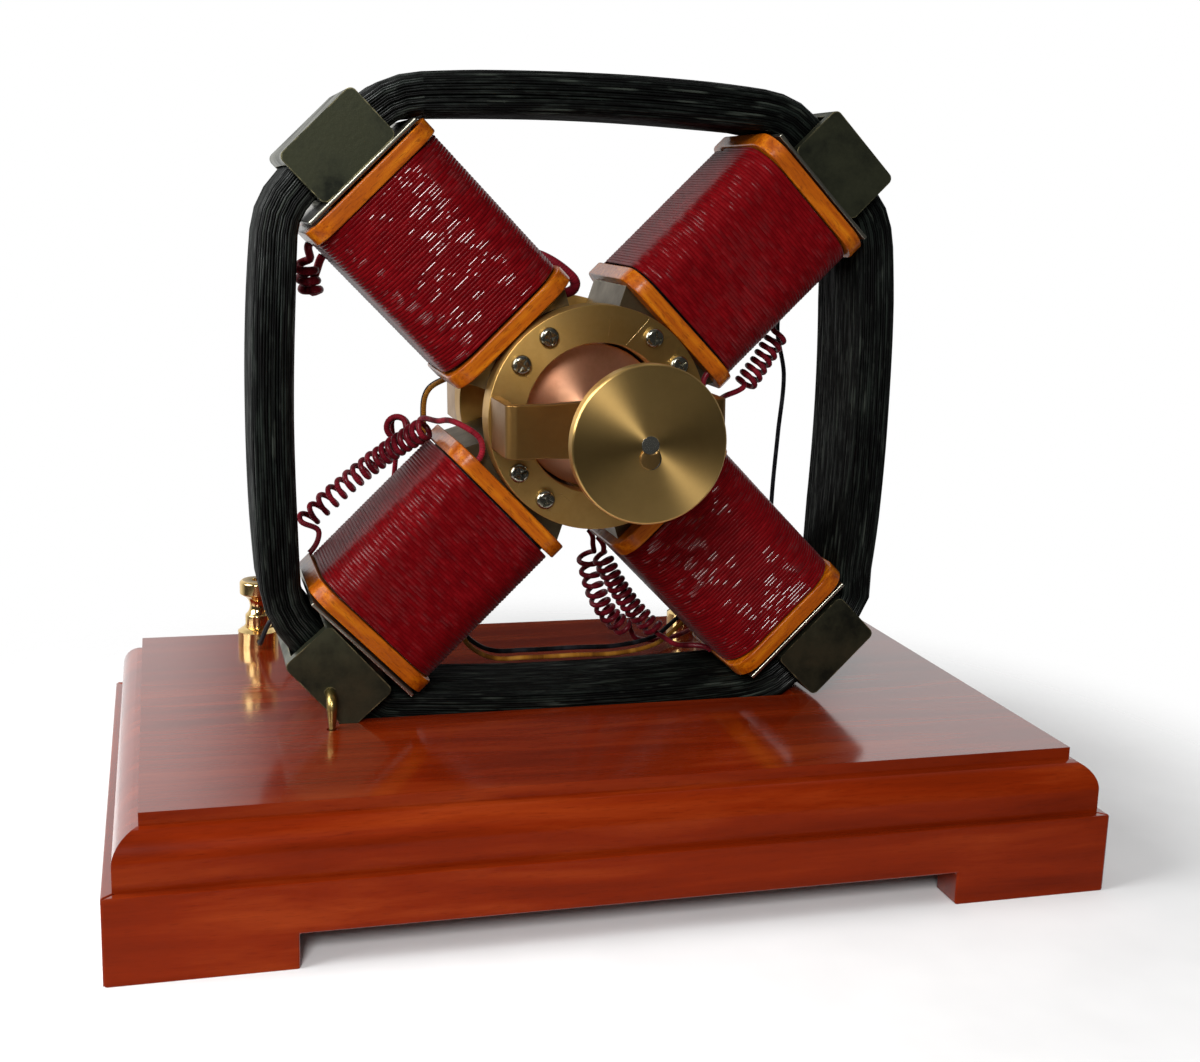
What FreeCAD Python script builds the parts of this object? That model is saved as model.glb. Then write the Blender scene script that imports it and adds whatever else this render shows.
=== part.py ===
import FreeCAD, Part
import math
import os

# A demonstration electric motor on a wooden plinth.
# Millimetres, +Z up, front of the motor towards -Y, origin under the middle of the plinth.
# Shares are plain ratios or angles in degrees, every other number named here is a length.

Vector = FreeCAD.Vector

# Plinth
plinth_length = 289.0
plinth_depth = 185.5
skirt_height = 24.1
skirt_wall = 12.0
arch_height = 9.8
foot_length = 49.5
ledge_width = 2.8
fascia_height = 7.1
ovolo_drop = 8.0
ovolo_reach = 6.3
quirk_width = 0.5
panel_step = 3.6
glue_block_leg = 20.0
glue_block_height = 14.0

# Motor axis and the bore of the stator
shaft_height = 92.9
bore_diameter = 45.4
shoe_depth = 36.8
shoe_half_angle = 34.0
shoe_top_width = 41.4
rotor_gap = 0.9
rotor_length = 39.0
rotor_shell_wall = 4.0

# Brass end rings and their screws
ring_diameter = 67.8
ring_thickness = 9.0
ring_screw_circle = 58.3
ring_screw_spread = 11.4
ring_screw_diameter = 3.0
ring_screw_length = 14.0
ring_screw_head = 5.9
ring_screw_head_height = 2.2
screw_slot_width = 0.8
screw_slot_depth = 0.9

# Bearing bridges and bushes
bridge_span = 66.0
bridge_rise = 22.2
bridge_width = 15.4
bridge_boss_width = 16.8
bridge_boss_length = 42.0
bridge_strip = 2.8
bridge_bend = 3.2
bridge_angle = 1.6
bush_diameter = 9.0
bush_collar = 12.0
bush_collar_height = 1.2

# Shaft, brass disc and its key pin
shaft_diameter = 5.0
shaft_dome_height = 1.4
shaft_tail = 4.0
running_clearance = 0.04
disc_diameter = 43.7
disc_thickness = 4.5
disc_standoff = 25.6
disc_edge = 0.5
hub_diameter = 11.0
hub_length = 16.0
key_diameter = 5.8
key_offset = 3.7
key_proud = 0.4

# Coils: wooden flanges, winding, iron pole
flange_seat_gap = 0.6
flange_width = 47.4
flange_depth = 49.5
flange_thickness = 5.0
flange_corner = 8.0
winding_length = 53.0
winding_width = 45.4
winding_depth = 47.0
winding_corner = 11.0
winding_loops = 24
winding_wire = 1.65
winding_end_gap = 0.3
pole_width = 24.0
pole_depth = 28.0
pole_clearance = 0.25
plate_gap = 0.9
plate_thickness = 1.2
plate_width = 42.4
plate_depth = 47.4

# Corner blocks that clamp the yoke bundle
block_thickness = 18.4
block_width = 28.6
block_depth = 45.0
block_corner = 2.0

# The lower blocks have slipped a little outward and sideways, and the left one has turned
left_slip_out = 1.4
left_slip_side = 1.2
left_slip_angle = 3.0
right_slip_out = 2.1
right_slip_side = 3.4
right_slip_angle = 0.0

# Yoke: a flat bundle of iron wire, its lower limb let into the top board
yoke_thickness = 12.8
yoke_depth = 37.8
yoke_corner = 4.0
yoke_wire = 2.4
yoke_loops = 24
yoke_gap_left = 1.4
yoke_gap_right = 0.3
yoke_gap_top = 0.5
yoke_gap_bottom = 0.5
yoke_slot_clearance = 0.3
yoke_shoulder = 52.0
yoke_shoulder_angle = 4.0
yoke_window_gap = 0.3
yoke_exit_margin = 0.5
core_clearance = 0.5

# Binding posts
post_end_margin = 49.1
post_spacing = 32.0
post_rear_margin = 23.45
post_base_diameter = 14.0
post_base_height = 5.2
post_bevel_height = 1.5
post_bevel_diameter = 9.6
washer_thickness = 0.6
washer_diameter = 9.2
post_collar_diameter = 8.8
post_collar_height = 3.6
post_cove_height = 6.9
post_waist_diameter = 5.6
post_head_diameter = 12.4
post_head_height = 5.6
post_head_bevel = 0.8
post_stud_diameter = 4.0
post_stud_clearance = 0.05
post_stud_recess = 0.6
post_stud_slot = 0.7
post_stud_slot_depth = 0.7
post_tail = 9.0
post_nut_width = 7.0
post_nut_height = 3.2
post_nut_washer = 9.0
post_nut_washer_height = 0.8

# Hold-down hooks
hook_wire = 3.2
hook_x = 79.7
hook_y = 27.2
hook_arm_height = 9.7
hook_bend = 3.4
hook_arm_entry = 2.4
hook_root = 11.0
hook_clearance = 0.1

# Leads
lead_wire = 1.6
lead_hole_clearance = 0.1
lead_hole_depth = 3.0
curl_radius = 2.5
small_curl_radius = 2.3
loose_curl_radius = 2.9
lead_lift = 23.6

cut_overrun = 5.0

# Shares
straight_share = 1e-7
pan_round_share = 0.6
slot_share = 0.36
slot_angle_shares = [10.0, 55.0, 30.0, 75.0, 20.0, 65.0, 40.0, 5.0]
waist_share = 0.5
under_rim_share = 0.4
curve_step_share = 0.001
turn_step_share = 0.01
steep_share = 0.7
arc_share = 0.45

board_top = skirt_height + fascia_height + ovolo_drop + panel_step
axis_z = board_top + shaft_height
ring_face = shoe_depth / 2 + ring_thickness
flange_inner = ring_diameter / 2 + flange_seat_gap
winding_inner = flange_inner + flange_thickness
winding_outer = winding_inner + winding_length
flange_outer = winding_outer + flange_thickness
plate_inner = flange_outer + plate_gap
block_inner = plate_inner + plate_thickness
block_outer = block_inner + block_thickness
yoke_wall = (block_depth - yoke_depth) / 2 - yoke_window_gap
yoke_radius = block_outer - yoke_wall - yoke_window_gap - yoke_thickness / 2
bridge_face = ring_face + bridge_rise
disc_back = bridge_face + disc_standoff
disc_front = disc_back + disc_thickness
block_middle = (block_inner + block_outer) / 2
flange_reach = (flange_outer + flange_width / 2) / math.sqrt(2)
yoke_reach_left = flange_reach + yoke_gap_left + yoke_thickness / 2
yoke_reach_right = flange_reach + yoke_gap_right + yoke_thickness / 2
yoke_reach_top = flange_reach + yoke_gap_top + yoke_thickness / 2
yoke_reach_bottom = flange_reach + yoke_gap_bottom + yoke_thickness / 2
yoke_bow = yoke_shoulder * math.tan(math.radians(yoke_shoulder_angle) / 2)
limb_top = axis_z - yoke_reach_bottom - yoke_bow + yoke_thickness / 2

post_outer_x = plinth_length / 2 - post_end_margin
post_inner_x = post_outer_x - post_spacing
post_y = plinth_depth / 2 - post_rear_margin

# Turn about the motor axis that brings a coil from +X to its corner
corners = {
    "upper_left": -135.0,
    "upper_right": -45.0,
    "lower_right": 45.0,
    "lower_left": 135.0,
}

slips = {
    "lower_left": (left_slip_out, left_slip_side, left_slip_angle),
    "lower_right": (right_slip_out, right_slip_side, right_slip_angle),
}

posts = {
    "left_outer": -post_outer_x,
    "left_inner": -post_inner_x,
    "right_inner": post_inner_x,
    "right_outer": post_outer_x,
}


def box_between(low, high):
    size = high.sub(low)
    return Part.makeBox(size.x, size.y, size.z, low)


def drum(radius, start, end):
    """A cylinder between two places on the motor axis, measured along Y."""
    return Part.makeCylinder(radius, end - start, Vector(0, start, 0), Vector(0, 1, 0))


def slab(width, depth, corner, low, high):
    """A rounded rectangle across the coil's axis, from one radius to another."""
    body = Part.makeBox(high - low, depth, width, Vector(low, -depth / 2, -width / 2))
    edges = [e for e in body.Edges if abs(e.tangentAt(e.FirstParameter).x) > 1 - straight_share]
    return body.makeFillet(corner, edges)


def raise_to_axis(shape):
    shape.translate(Vector(0, 0, axis_z))
    return shape


def corner_frame(angle):
    return FreeCAD.Placement(Vector(0, 0, axis_z), FreeCAD.Rotation(Vector(0, 1, 0), angle))


def block_frame(name):
    """Where a corner block stands, with the slip of the two lower ones."""
    frame = corner_frame(corners[name])
    if name in slips:
        out, side, angle = slips[name]
        turn = FreeCAD.Rotation(Vector(0, 1, 0), angle)
        frame = frame * FreeCAD.Placement(Vector(out, 0, side), turn, Vector(block_middle, 0, 0))
    return frame


def placed(shape, frame):
    copy = shape.copy()
    copy.transformShape(frame.toMatrix())
    return copy


def turn_to_corner(shape, angle):
    return placed(shape, corner_frame(angle))


def at_corner(angle, reach, depth, side):
    """World place of a point given by its radius, its Y and its offset across the coil."""
    return corner_frame(angle).multVec(Vector(reach, depth, side))


def unit(vector):
    return Vector(vector).normalize()


def biarc(start, start_way, end, end_way):
    """Two arcs, or a line, from one place and direction to another."""
    span = end.sub(start)
    ways = start_way.add(end_way)
    cosine = start_way.dot(end_way)
    along = span.dot(ways)
    square = span.dot(span)
    if 1 - cosine < straight_share:
        reach = square / (2 * along)
    else:
        root = math.sqrt(along * along + 2 * (1 - cosine) * square)
        reach = (root - along) / (2 * (1 - cosine))
    first = start.add(start_way * reach)
    last = end.sub(end_way * reach)
    joint = (first + last) * 0.5
    edges = []
    for begin, knee, finish in ((start, first, joint), (joint, last, end)):
        into = unit(knee.sub(begin))
        out = unit(finish.sub(knee))
        turn = math.acos(max(-1.0, min(1.0, into.dot(out))))
        if turn < math.sqrt(straight_share):
            edges.append(Part.LineSegment(begin, finish).toShape())
        else:
            radius = reach / math.tan(turn / 2)
            inward = unit(out.sub(into))
            middle = knee.add(inward * (radius / math.cos(turn / 2) - radius))
            edges.append(Part.Arc(begin, middle, finish).toShape())
    return edges


def line(start, end):
    return [Part.LineSegment(start, end).toShape()]


def follow(stations):
    """Edges through places that each have a direction of travel."""
    edges = []
    for (start, way), (end, next_way) in zip(stations, stations[1:]):
        straight = unit(end.sub(start))
        if min(straight.dot(way), straight.dot(next_way)) > 1 - straight_share:
            edges += line(start, end)
        else:
            edges += biarc(start, way, end, next_way)
    return edges


def tube(edges, diameter):
    """One unbroken round tube along tangent edges."""
    path = Part.Wire(edges)
    begin = edges[0].valueAt(edges[0].FirstParameter)
    way = edges[0].tangentAt(edges[0].FirstParameter)
    ring = Part.Wire([Part.makeCircle(diameter / 2, begin, way)])
    return path.makePipeShell([ring], True, False)


def least_gap(edges, diameter):
    """Smallest clear space between stretches of one tube, measured on points along it."""
    step = diameter / 2
    points = []
    travelled = 0.0
    for edge in edges:
        count = max(2, int(edge.Length / step) + 1)
        for place in edge.discretize(count)[:-1]:
            points.append((travelled, place))
            travelled += edge.Length / (count - 1)
    cells = {}
    cell = diameter * 2
    for travel, place in points:
        key = (math.floor(place.x / cell), math.floor(place.y / cell), math.floor(place.z / cell))
        cells.setdefault(key, []).append((travel, place))
    nearest = cell
    for (i, j, k), members in cells.items():
        around = []
        for di in (-1, 0, 1):
            for dj in (-1, 0, 1):
                for dk in (-1, 0, 1):
                    around += cells.get((i + di, j + dj, k + dk), [])
        for travel, place in members:
            for other_travel, other in around:
                if other_travel - travel > 3 * diameter:
                    nearest = min(nearest, place.distanceToPoint(other))
    return nearest - diameter


def report_form(name, edges, solid, diameter):
    length = sum(edge.Length for edge in edges)
    radii = [edge.Curve.Radius for edge in edges if isinstance(edge.Curve, Part.Circle)]
    section = math.pi * diameter * diameter / 4
    print("%s: length %.1f, least bend radius %.2f, least gap %.2f, volume over section x length %.4f"
          % (name, length, min(radii), least_gap(edges, diameter), solid.Volume / (section * length)))


# Plinth pieces

def moulded_profile(half_width):
    """Half outline of the top board's edge, as (distance from the middle, height) pairs and one arc."""
    edge = half_width - ledge_width
    step = edge - ovolo_reach
    panel = step - quirk_width
    low = skirt_height
    spring = low + fascia_height
    crown = spring + ovolo_drop
    radius = (ovolo_reach ** 2 + ovolo_drop ** 2) / (2 * ovolo_reach)
    rise = math.asin(ovolo_drop / radius) / 2
    bulge = (edge - radius + radius * math.cos(rise), spring + radius * math.sin(rise))
    return edge, step, panel, low, spring, crown, bulge


def moulded_prism(half_width, half_length):
    """The moulded edge on both sides of a long board that runs along Y."""
    edge, step, panel, low, spring, crown, bulge = moulded_profile(half_width)

    def place(x, z):
        return Vector(x, -half_length, z)

    right = [
        Part.LineSegment(place(0, low), place(edge, low)).toShape(),
        Part.LineSegment(place(edge, low), place(edge, spring)).toShape(),
        Part.Arc(place(edge, spring), place(*bulge), place(step, crown)).toShape(),
        Part.LineSegment(place(step, crown), place(panel, crown)).toShape(),
        Part.LineSegment(place(panel, crown), place(panel, board_top)).toShape(),
        Part.LineSegment(place(panel, board_top), place(0, board_top)).toShape(),
        Part.LineSegment(place(0, board_top), place(0, low)).toShape(),
    ]
    half = Part.Face(Part.Wire(right)).extrude(Vector(0, 2 * half_length, 0))
    other = half.mirror(Vector(0, 0, 0), Vector(1, 0, 0))
    return half.fuse(other).removeSplitter()


def top_board():
    along = moulded_prism(plinth_length / 2, plinth_depth / 2)
    across = moulded_prism(plinth_depth / 2, plinth_length / 2)
    across.rotate(Vector(0, 0, 0), Vector(0, 0, 1), 90)
    board = along.common(across)
    for x in posts.values():
        hole = Part.makeCylinder(post_stud_diameter / 2, board_top, Vector(x, post_y, 0))
        board = board.cut(hole)
    for x, y in hook_places():
        bottom = board_top - hook_root
        board = board.cut(Part.makeCylinder(hook_wire / 2, hook_root + cut_overrun, Vector(x, y, bottom)))
    board = board.cut(yoke_slot())
    for name in slips:
        board = board.cut(placed(block_body(yoke_slot_clearance), block_frame(name)))
    return board.Solids[0]


def skirt_board(length, wall_place):
    """A mitred skirt board along X with an arch between two bracket feet."""
    outer = wall_place
    inner = outer - skirt_wall
    points = [
        Vector(-length / 2, -outer, 0),
        Vector(length / 2, -outer, 0),
        Vector(length / 2 - skirt_wall, -inner, 0),
        Vector(skirt_wall - length / 2, -inner, 0),
    ]
    board = Part.Face(Part.makePolygon(points + points[:1])).extrude(Vector(0, 0, skirt_height))
    arch_low = Vector(foot_length - length / 2, -outer - cut_overrun, -cut_overrun)
    arch_high = Vector(length / 2 - foot_length, -inner + cut_overrun, arch_height)
    return board.cut(box_between(arch_low, arch_high))


def glue_blocks():
    blocks = []
    corner_x = plinth_length / 2 - skirt_wall
    corner_y = plinth_depth / 2 - skirt_wall
    for side in (-1, 1):
        for end in (-1, 1):
            corner = Vector(side * corner_x, end * corner_y, skirt_height - glue_block_height)
            along = corner.add(Vector(-side * glue_block_leg, 0, 0))
            across = corner.add(Vector(0, -end * glue_block_leg, 0))
            face = Part.Face(Part.makePolygon([corner, along, across, corner]))
            blocks.append(face.extrude(Vector(0, 0, glue_block_height)))
    return Part.makeCompound(blocks)


def hook_places():
    return [(-hook_x, -hook_y), (hook_x, hook_y)]


def hook(x, y):
    """A square-bend hook: root in the board, arm into the block's wall."""
    inward = -1 if y > 0 else 1
    arm_z = board_top + hook_arm_height
    wall = -inward * block_depth / 2
    foot = Vector(x, y, board_top - hook_root)
    knee = Vector(x, y, arm_z - hook_bend)
    elbow = Vector(x, y + inward * hook_bend, arm_z)
    tip = Vector(x, wall + inward * hook_arm_entry, arm_z)
    middle_turn = hook_bend * (1 - math.sqrt(0.5))
    middle = Vector(x, y + inward * middle_turn, arm_z - middle_turn)
    edges = line(foot, knee)
    edges.append(Part.Arc(knee, middle, elbow).toShape())
    edges += line(elbow, tip)
    return tube(edges, hook_wire)


def hold_down_hooks():
    return Part.makeCompound([hook(x, y) for x, y in hook_places()])


# Stator pieces

def pole():
    """Iron bar through the coil with its wedge-shaped shoe, bored for the rotor."""
    bar = box_between(Vector(flange_inner, -pole_depth / 2, -pole_width / 2),
                      Vector(block_inner, pole_depth / 2, pole_width / 2))
    bore = bore_diameter / 2
    spread = math.radians(shoe_half_angle)
    near = bore * math.cos(spread) / 2
    slope = (shoe_top_width / 2 - bore * math.sin(spread)) / (flange_inner - bore * math.cos(spread))
    near_half = bore * math.sin(spread) - slope * near
    points = [
        Vector(near, -shoe_depth / 2, -near_half),
        Vector(flange_inner, -shoe_depth / 2, -shoe_top_width / 2),
        Vector(flange_inner, -shoe_depth / 2, shoe_top_width / 2),
        Vector(near, -shoe_depth / 2, near_half),
    ]
    shoe = Part.Face(Part.makePolygon(points + points[:1])).extrude(Vector(0, shoe_depth, 0))
    piece = bar.fuse(shoe)
    piece = piece.cut(drum(bore, -shoe_depth, shoe_depth))
    for x, z in screw_places():
        if x > 0 and abs(z) < x:
            piece = piece.cut(screw_bore(x, z))
    return piece.Solids[0]


def screw_places():
    """Ring screw places seen in the frame of the coil on +X, four pairs round the ring."""
    places = []
    for quarter in range(4):
        for side in (-1, 1):
            angle = math.radians(90 * quarter + side * ring_screw_spread)
            radius = ring_screw_circle / 2
            places.append((radius * math.cos(angle), radius * math.sin(angle)))
    return places


def screw_bore(x, z):
    """The tapped holes for one front and one rear screw."""
    depth = ring_screw_length - ring_thickness
    bores = []
    for face in (-1, 1):
        start = face * ring_face
        end = face * (shoe_depth / 2 - depth)
        bores.append(Part.makeCylinder(ring_screw_diameter / 2, abs(end - start),
                                       Vector(x, start, z), Vector(0, -face, 0)))
    return Part.makeCompound(bores)


def end_ring(side):
    inner = side * shoe_depth / 2
    outer = side * ring_face
    ring = drum(ring_diameter / 2, min(inner, outer), max(inner, outer))
    ring = ring.cut(drum(bore_diameter / 2, -ring_face - cut_overrun, ring_face + cut_overrun))
    for x, z in screw_places():
        ring = ring.cut(screw_bore(x, z))
    return ring


def pan_screw(x, z, side, quarter_turn):
    """Pan-head screw with a crossed slot, its thread down to the pole shoe."""
    out = Vector(0, side, 0)
    seat = Vector(x, side * ring_face, z)
    shank = Part.makeCylinder(ring_screw_diameter / 2, ring_screw_length, seat, out * -1)
    head = Part.makeCylinder(ring_screw_head / 2, ring_screw_head_height, seat, out)
    rim = [e for e in head.Edges if isinstance(e.Curve, Part.Circle)
           and abs(e.Curve.Center.y - seat.y) > ring_screw_head_height / 2]
    head = head.makeFillet(ring_screw_head_height * pan_round_share, rim)
    top = seat.y + side * ring_screw_head_height
    for turn in (quarter_turn, quarter_turn + 90):
        reach = ring_screw_head * slot_share
        slot = box_between(Vector(-reach, top - screw_slot_depth, -screw_slot_width / 2),
                           Vector(reach, top + screw_slot_depth, screw_slot_width / 2))
        slot.rotate(Vector(0, 0, 0), Vector(0, 1, 0), turn)
        slot.translate(Vector(x, 0, z))
        head = head.cut(slot)
    return head.fuse(shank)


def ring_screws():
    screws = []
    for side in (-1, 1):
        for (x, z), turn in zip(screw_places(), slot_angle_shares):
            screws.append(pan_screw(x, z, side, turn))
    return turn_to_corner(Part.makeCompound(screws), corners["upper_right"])


def bridge_boss():
    """The wider middle of a bridge, between two shallow arcs."""
    low = bridge_face - bridge_strip
    ends = [Vector(-bridge_boss_length / 2, low, bridge_width / 2),
            Vector(bridge_boss_length / 2, low, bridge_width / 2),
            Vector(bridge_boss_length / 2, low, -bridge_width / 2),
            Vector(-bridge_boss_length / 2, low, -bridge_width / 2)]
    outline = [Part.Arc(ends[0], Vector(0, low, bridge_boss_width / 2), ends[1]).toShape()]
    outline += line(ends[1], ends[2])
    outline.append(Part.Arc(ends[2], Vector(0, low, -bridge_boss_width / 2), ends[3]).toShape())
    outline += line(ends[3], ends[0])
    return Part.Face(Part.Wire(outline)).extrude(Vector(0, bridge_strip, 0))


def bridge(side):
    """U-shaped brass strip from the ring to the bearing."""
    half = bridge_span / 2
    outer = box_between(Vector(-half, ring_face, -bridge_width / 2),
                        Vector(half, bridge_face, bridge_width / 2))
    corners_out = [e for e in outer.Edges if abs(e.tangentAt(e.FirstParameter).z) > 1 - straight_share
                   and e.CenterOfMass.y > bridge_face - bridge_strip]
    outer = outer.makeFillet(bridge_bend, corners_out)
    inner = box_between(Vector(bridge_strip - half, ring_face - cut_overrun, -bridge_width),
                        Vector(half - bridge_strip, bridge_face - bridge_strip, bridge_width))
    piece = outer.cut(inner).fuse(bridge_boss())
    piece = piece.removeSplitter().cut(drum(bush_diameter / 2, ring_face, bridge_face + cut_overrun))
    piece.rotate(Vector(0, 0, 0), Vector(0, 1, 0), -bridge_angle)
    if side < 0:
        piece = piece.mirror(Vector(0, 0, 0), Vector(0, 1, 0))
    return raise_to_axis(piece)


def bearing_bushes():
    bushes = []
    bore = shaft_diameter / 2 + running_clearance
    for side in (-1, 1):
        seat = bridge_face - bridge_strip
        sleeve = drum(bush_diameter / 2, seat, bridge_face + bush_collar_height)
        collar = drum(bush_collar / 2, seat - bush_collar_height, seat)
        bush = sleeve.fuse(collar).cut(drum(bore, ring_face, disc_back))
        if side < 0:
            bush = bush.mirror(Vector(0, 0, 0), Vector(0, 1, 0))
        bushes.append(raise_to_axis(bush))
    return Part.makeCompound(bushes)


# Rotor pieces

def copper_rotor():
    radius = bore_diameter / 2 - rotor_gap
    shell = drum(radius, -rotor_length / 2, rotor_length / 2)
    shell = shell.cut(drum(radius - rotor_shell_wall, rotor_shell_wall - rotor_length / 2, rotor_length))
    shell = shell.cut(drum(shaft_diameter / 2, -rotor_length, rotor_length))
    return raise_to_axis(shell)


def rotor_core():
    radius = bore_diameter / 2 - rotor_gap - rotor_shell_wall
    core = drum(radius, rotor_shell_wall - rotor_length / 2, rotor_length / 2)
    return raise_to_axis(core.cut(drum(shaft_diameter / 2, -rotor_length, rotor_length)))


def shaft():
    radius = shaft_diameter / 2
    rod = drum(radius, -disc_front, bridge_face + shaft_tail)
    dome_radius = (radius ** 2 + shaft_dome_height ** 2) / (2 * shaft_dome_height)
    ball = Part.makeSphere(dome_radius, Vector(0, dome_radius - disc_front - shaft_dome_height, 0))
    cap = ball.common(drum(radius, -disc_front - shaft_dome_height, -disc_front))
    return raise_to_axis(rod.fuse(cap))


def drive_disc():
    disc = drum(disc_diameter / 2, -disc_front, -disc_back)
    rims = [e for e in disc.Edges if isinstance(e.Curve, Part.Circle)]
    disc = disc.makeChamfer(disc_edge, rims)
    hub = drum(hub_diameter / 2, -disc_back, hub_length - disc_back)
    piece = disc.fuse(hub).cut(drum(shaft_diameter / 2, -disc_front - cut_overrun, hub_length))
    piece = piece.cut(key_drum(-disc_front - cut_overrun, hub_length - disc_back + cut_overrun))
    return raise_to_axis(piece)


def key_drum(start, end):
    pin = drum(key_diameter / 2, start, end)
    pin.translate(Vector(0, 0, -key_offset))
    return pin


def disc_key():
    pin = key_drum(-disc_front - key_proud, hub_length - disc_back)
    return raise_to_axis(pin.cut(drum(shaft_diameter / 2, -disc_front - cut_overrun, hub_length)))


# Coil pieces, each made on +X and turned to its corner

def flange(low, corner_angle):
    body = slab(flange_width, flange_depth, flange_corner, low, low + flange_thickness)
    hole = slab_hole(low)
    return turn_to_corner(body.cut(hole), corner_angle)


def slab_hole(low):
    half_width = pole_width / 2 + pole_clearance
    half_depth = pole_depth / 2 + pole_clearance
    return box_between(Vector(low - cut_overrun, -half_depth, -half_width),
                       Vector(block_inner + cut_overrun, half_depth, half_width))


def winding_core():
    skin = winding_wire + core_clearance
    core = slab(winding_width - 2 * skin, winding_depth - 2 * skin, winding_corner - skin,
                winding_inner, winding_outer)
    return core.cut(slab_hole(winding_inner))


def winding_route():
    """One wire round the core, climbing at a steady rate from flange to flange."""
    half_y = winding_depth / 2 - winding_wire / 2
    half_z = winding_width / 2 - winding_wire / 2
    bend = winding_corner - winding_wire / 2
    flat_y = half_y - bend
    flat_z = half_z - bend
    around = 4 * flat_y + 4 * flat_z + 2 * math.pi * bend
    travel = winding_length - winding_wire - 2 * winding_end_gap
    pitch = travel / winding_loops
    slope = pitch / around
    level = math.sqrt(1 + slope * slope)
    start_x = winding_inner + winding_end_gap + winding_wire / 2

    def station(distance, y, z, way_y, way_z):
        place = Vector(start_x + slope * distance, y, z)
        return place, Vector(slope / level, way_y / level, way_z / level)

    stations = [station(0, half_y, 0, 0, 1)]
    distance = 0.0
    quarter = math.pi * bend / 2
    for loop in range(winding_loops):
        walk = [
            (flat_z, half_y, flat_z, 0, 1),
            (quarter, flat_y, half_z, -1, 0),
            (2 * flat_y, -flat_y, half_z, -1, 0),
            (quarter, -half_y, flat_z, 0, -1),
            (2 * flat_z, -half_y, -flat_z, 0, -1),
            (quarter, -flat_y, -half_z, 1, 0),
            (2 * flat_y, flat_y, -half_z, 1, 0),
            (quarter, half_y, -flat_z, 0, 1),
            (flat_z, half_y, 0, 0, 1),
        ]
        for stretch, y, z, way_y, way_z in walk:
            distance += stretch
            stations.append(station(distance, y, z, way_y, way_z))
    return follow(stations)


def end_plate():
    plate = box_between(Vector(plate_inner, -plate_depth / 2, -plate_width / 2),
                        Vector(block_inner, plate_depth / 2, plate_width / 2))
    return plate.cut(slab_hole(plate_inner))


def block_body(margin=0.0):
    """Outer form of a corner block, grown by a margin where it cuts its seat."""
    half_depth = block_depth / 2 + margin
    half_width = block_width / 2 + margin
    body = box_between(Vector(block_inner - margin, -half_depth, -half_width),
                       Vector(block_outer + margin, half_depth, half_width))
    long_edges = [e for e in body.Edges if abs(e.tangentAt(e.FirstParameter).y) > 1 - straight_share]
    return body.makeFillet(block_corner + margin, long_edges)


def corner_block(name):
    """Steel block with a window for the bundle, and holes for the hook arms that reach it."""
    half_window = yoke_thickness / 2 + yoke_window_gap
    window = box_between(
        Vector(yoke_radius - half_window, -yoke_depth / 2 - yoke_window_gap, -block_width),
        Vector(yoke_radius + half_window, yoke_depth / 2 + yoke_window_gap, block_width))
    block = placed(block_body().cut(window), block_frame(name))
    for x, y in hook_places():
        start = -block_depth if y < 0 else block_depth
        way = Vector(0, -1 if y > 0 else 1, 0)
        depth = block_depth / 2 + hook_arm_entry + hook_clearance
        place = Vector(x, start, board_top + hook_arm_height)
        block = block.cut(Part.makeCylinder(hook_wire / 2 + hook_clearance, depth, place, way))
    return block


# Yoke pieces

def bundle_stations():
    """Places of the bundle's middle with their directions, clockwise seen from the front.

    They begin on the left of the upper limb.
    """
    tilt = math.radians(yoke_shoulder_angle)
    exit_side = block_width / 2 + yoke_exit_margin
    along = math.cos(tilt)
    across = math.sin(tilt)

    def shoulder(x, z, way_x, way_z):
        return Vector(x, 0, z + axis_z), Vector(way_x, 0, way_z)

    def block_pair(name):
        frame = block_frame(name)
        way = frame.Rotation.multVec(Vector(0, 0, -1))
        return [(frame.multVec(Vector(yoke_radius, 0, side)), way) for side in (exit_side, -exit_side)]

    stations = [shoulder(-yoke_shoulder, yoke_reach_top, along, across),
                shoulder(yoke_shoulder, yoke_reach_top, along, -across)]
    stations += block_pair("upper_right")
    stations += [shoulder(yoke_reach_right, yoke_shoulder, across, -along),
                 shoulder(yoke_reach_right, -yoke_shoulder, -across, -along)]
    stations += block_pair("lower_right")
    stations += [shoulder(yoke_shoulder, -yoke_reach_bottom, -along, -across),
                 shoulder(-yoke_shoulder, -yoke_reach_bottom, -along, across)]
    stations += block_pair("lower_left")
    stations += [shoulder(-yoke_reach_left, -yoke_shoulder, -across, along),
                 shoulder(-yoke_reach_left, yoke_shoulder, across, along)]
    stations += block_pair("upper_left")
    return stations


def section_place(share):
    """Offset outward and along Y at a share of the way round the bundle's section."""
    thickness = yoke_thickness - yoke_wire
    depth = yoke_depth - yoke_wire
    radius = yoke_corner - yoke_wire / 2
    flat_out = thickness / 2 - radius
    flat_y = depth / 2 - radius
    quarter = math.pi * radius / 2
    lengths = [flat_y, quarter, 2 * flat_out, quarter, 2 * flat_y, quarter, 2 * flat_out, quarter, flat_y]
    travel = share * sum(lengths)
    piece = 0
    while travel > lengths[piece] and piece < len(lengths) - 1:
        travel -= lengths[piece]
        piece += 1
    turn = travel / radius
    out = thickness / 2
    far = depth / 2
    places = [
        (-out, -travel),
        (-flat_out - radius * math.cos(turn), -flat_y - radius * math.sin(turn)),
        (-flat_out + travel, -far),
        (flat_out + radius * math.sin(turn), -flat_y - radius * math.cos(turn)),
        (out, -flat_y + travel),
        (flat_out + radius * math.cos(turn), flat_y + radius * math.sin(turn)),
        (flat_out - travel, far),
        (-flat_out - radius * math.sin(turn), flat_y + radius * math.cos(turn)),
        (-out, flat_y - travel),
    ]
    return places[piece]


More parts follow.
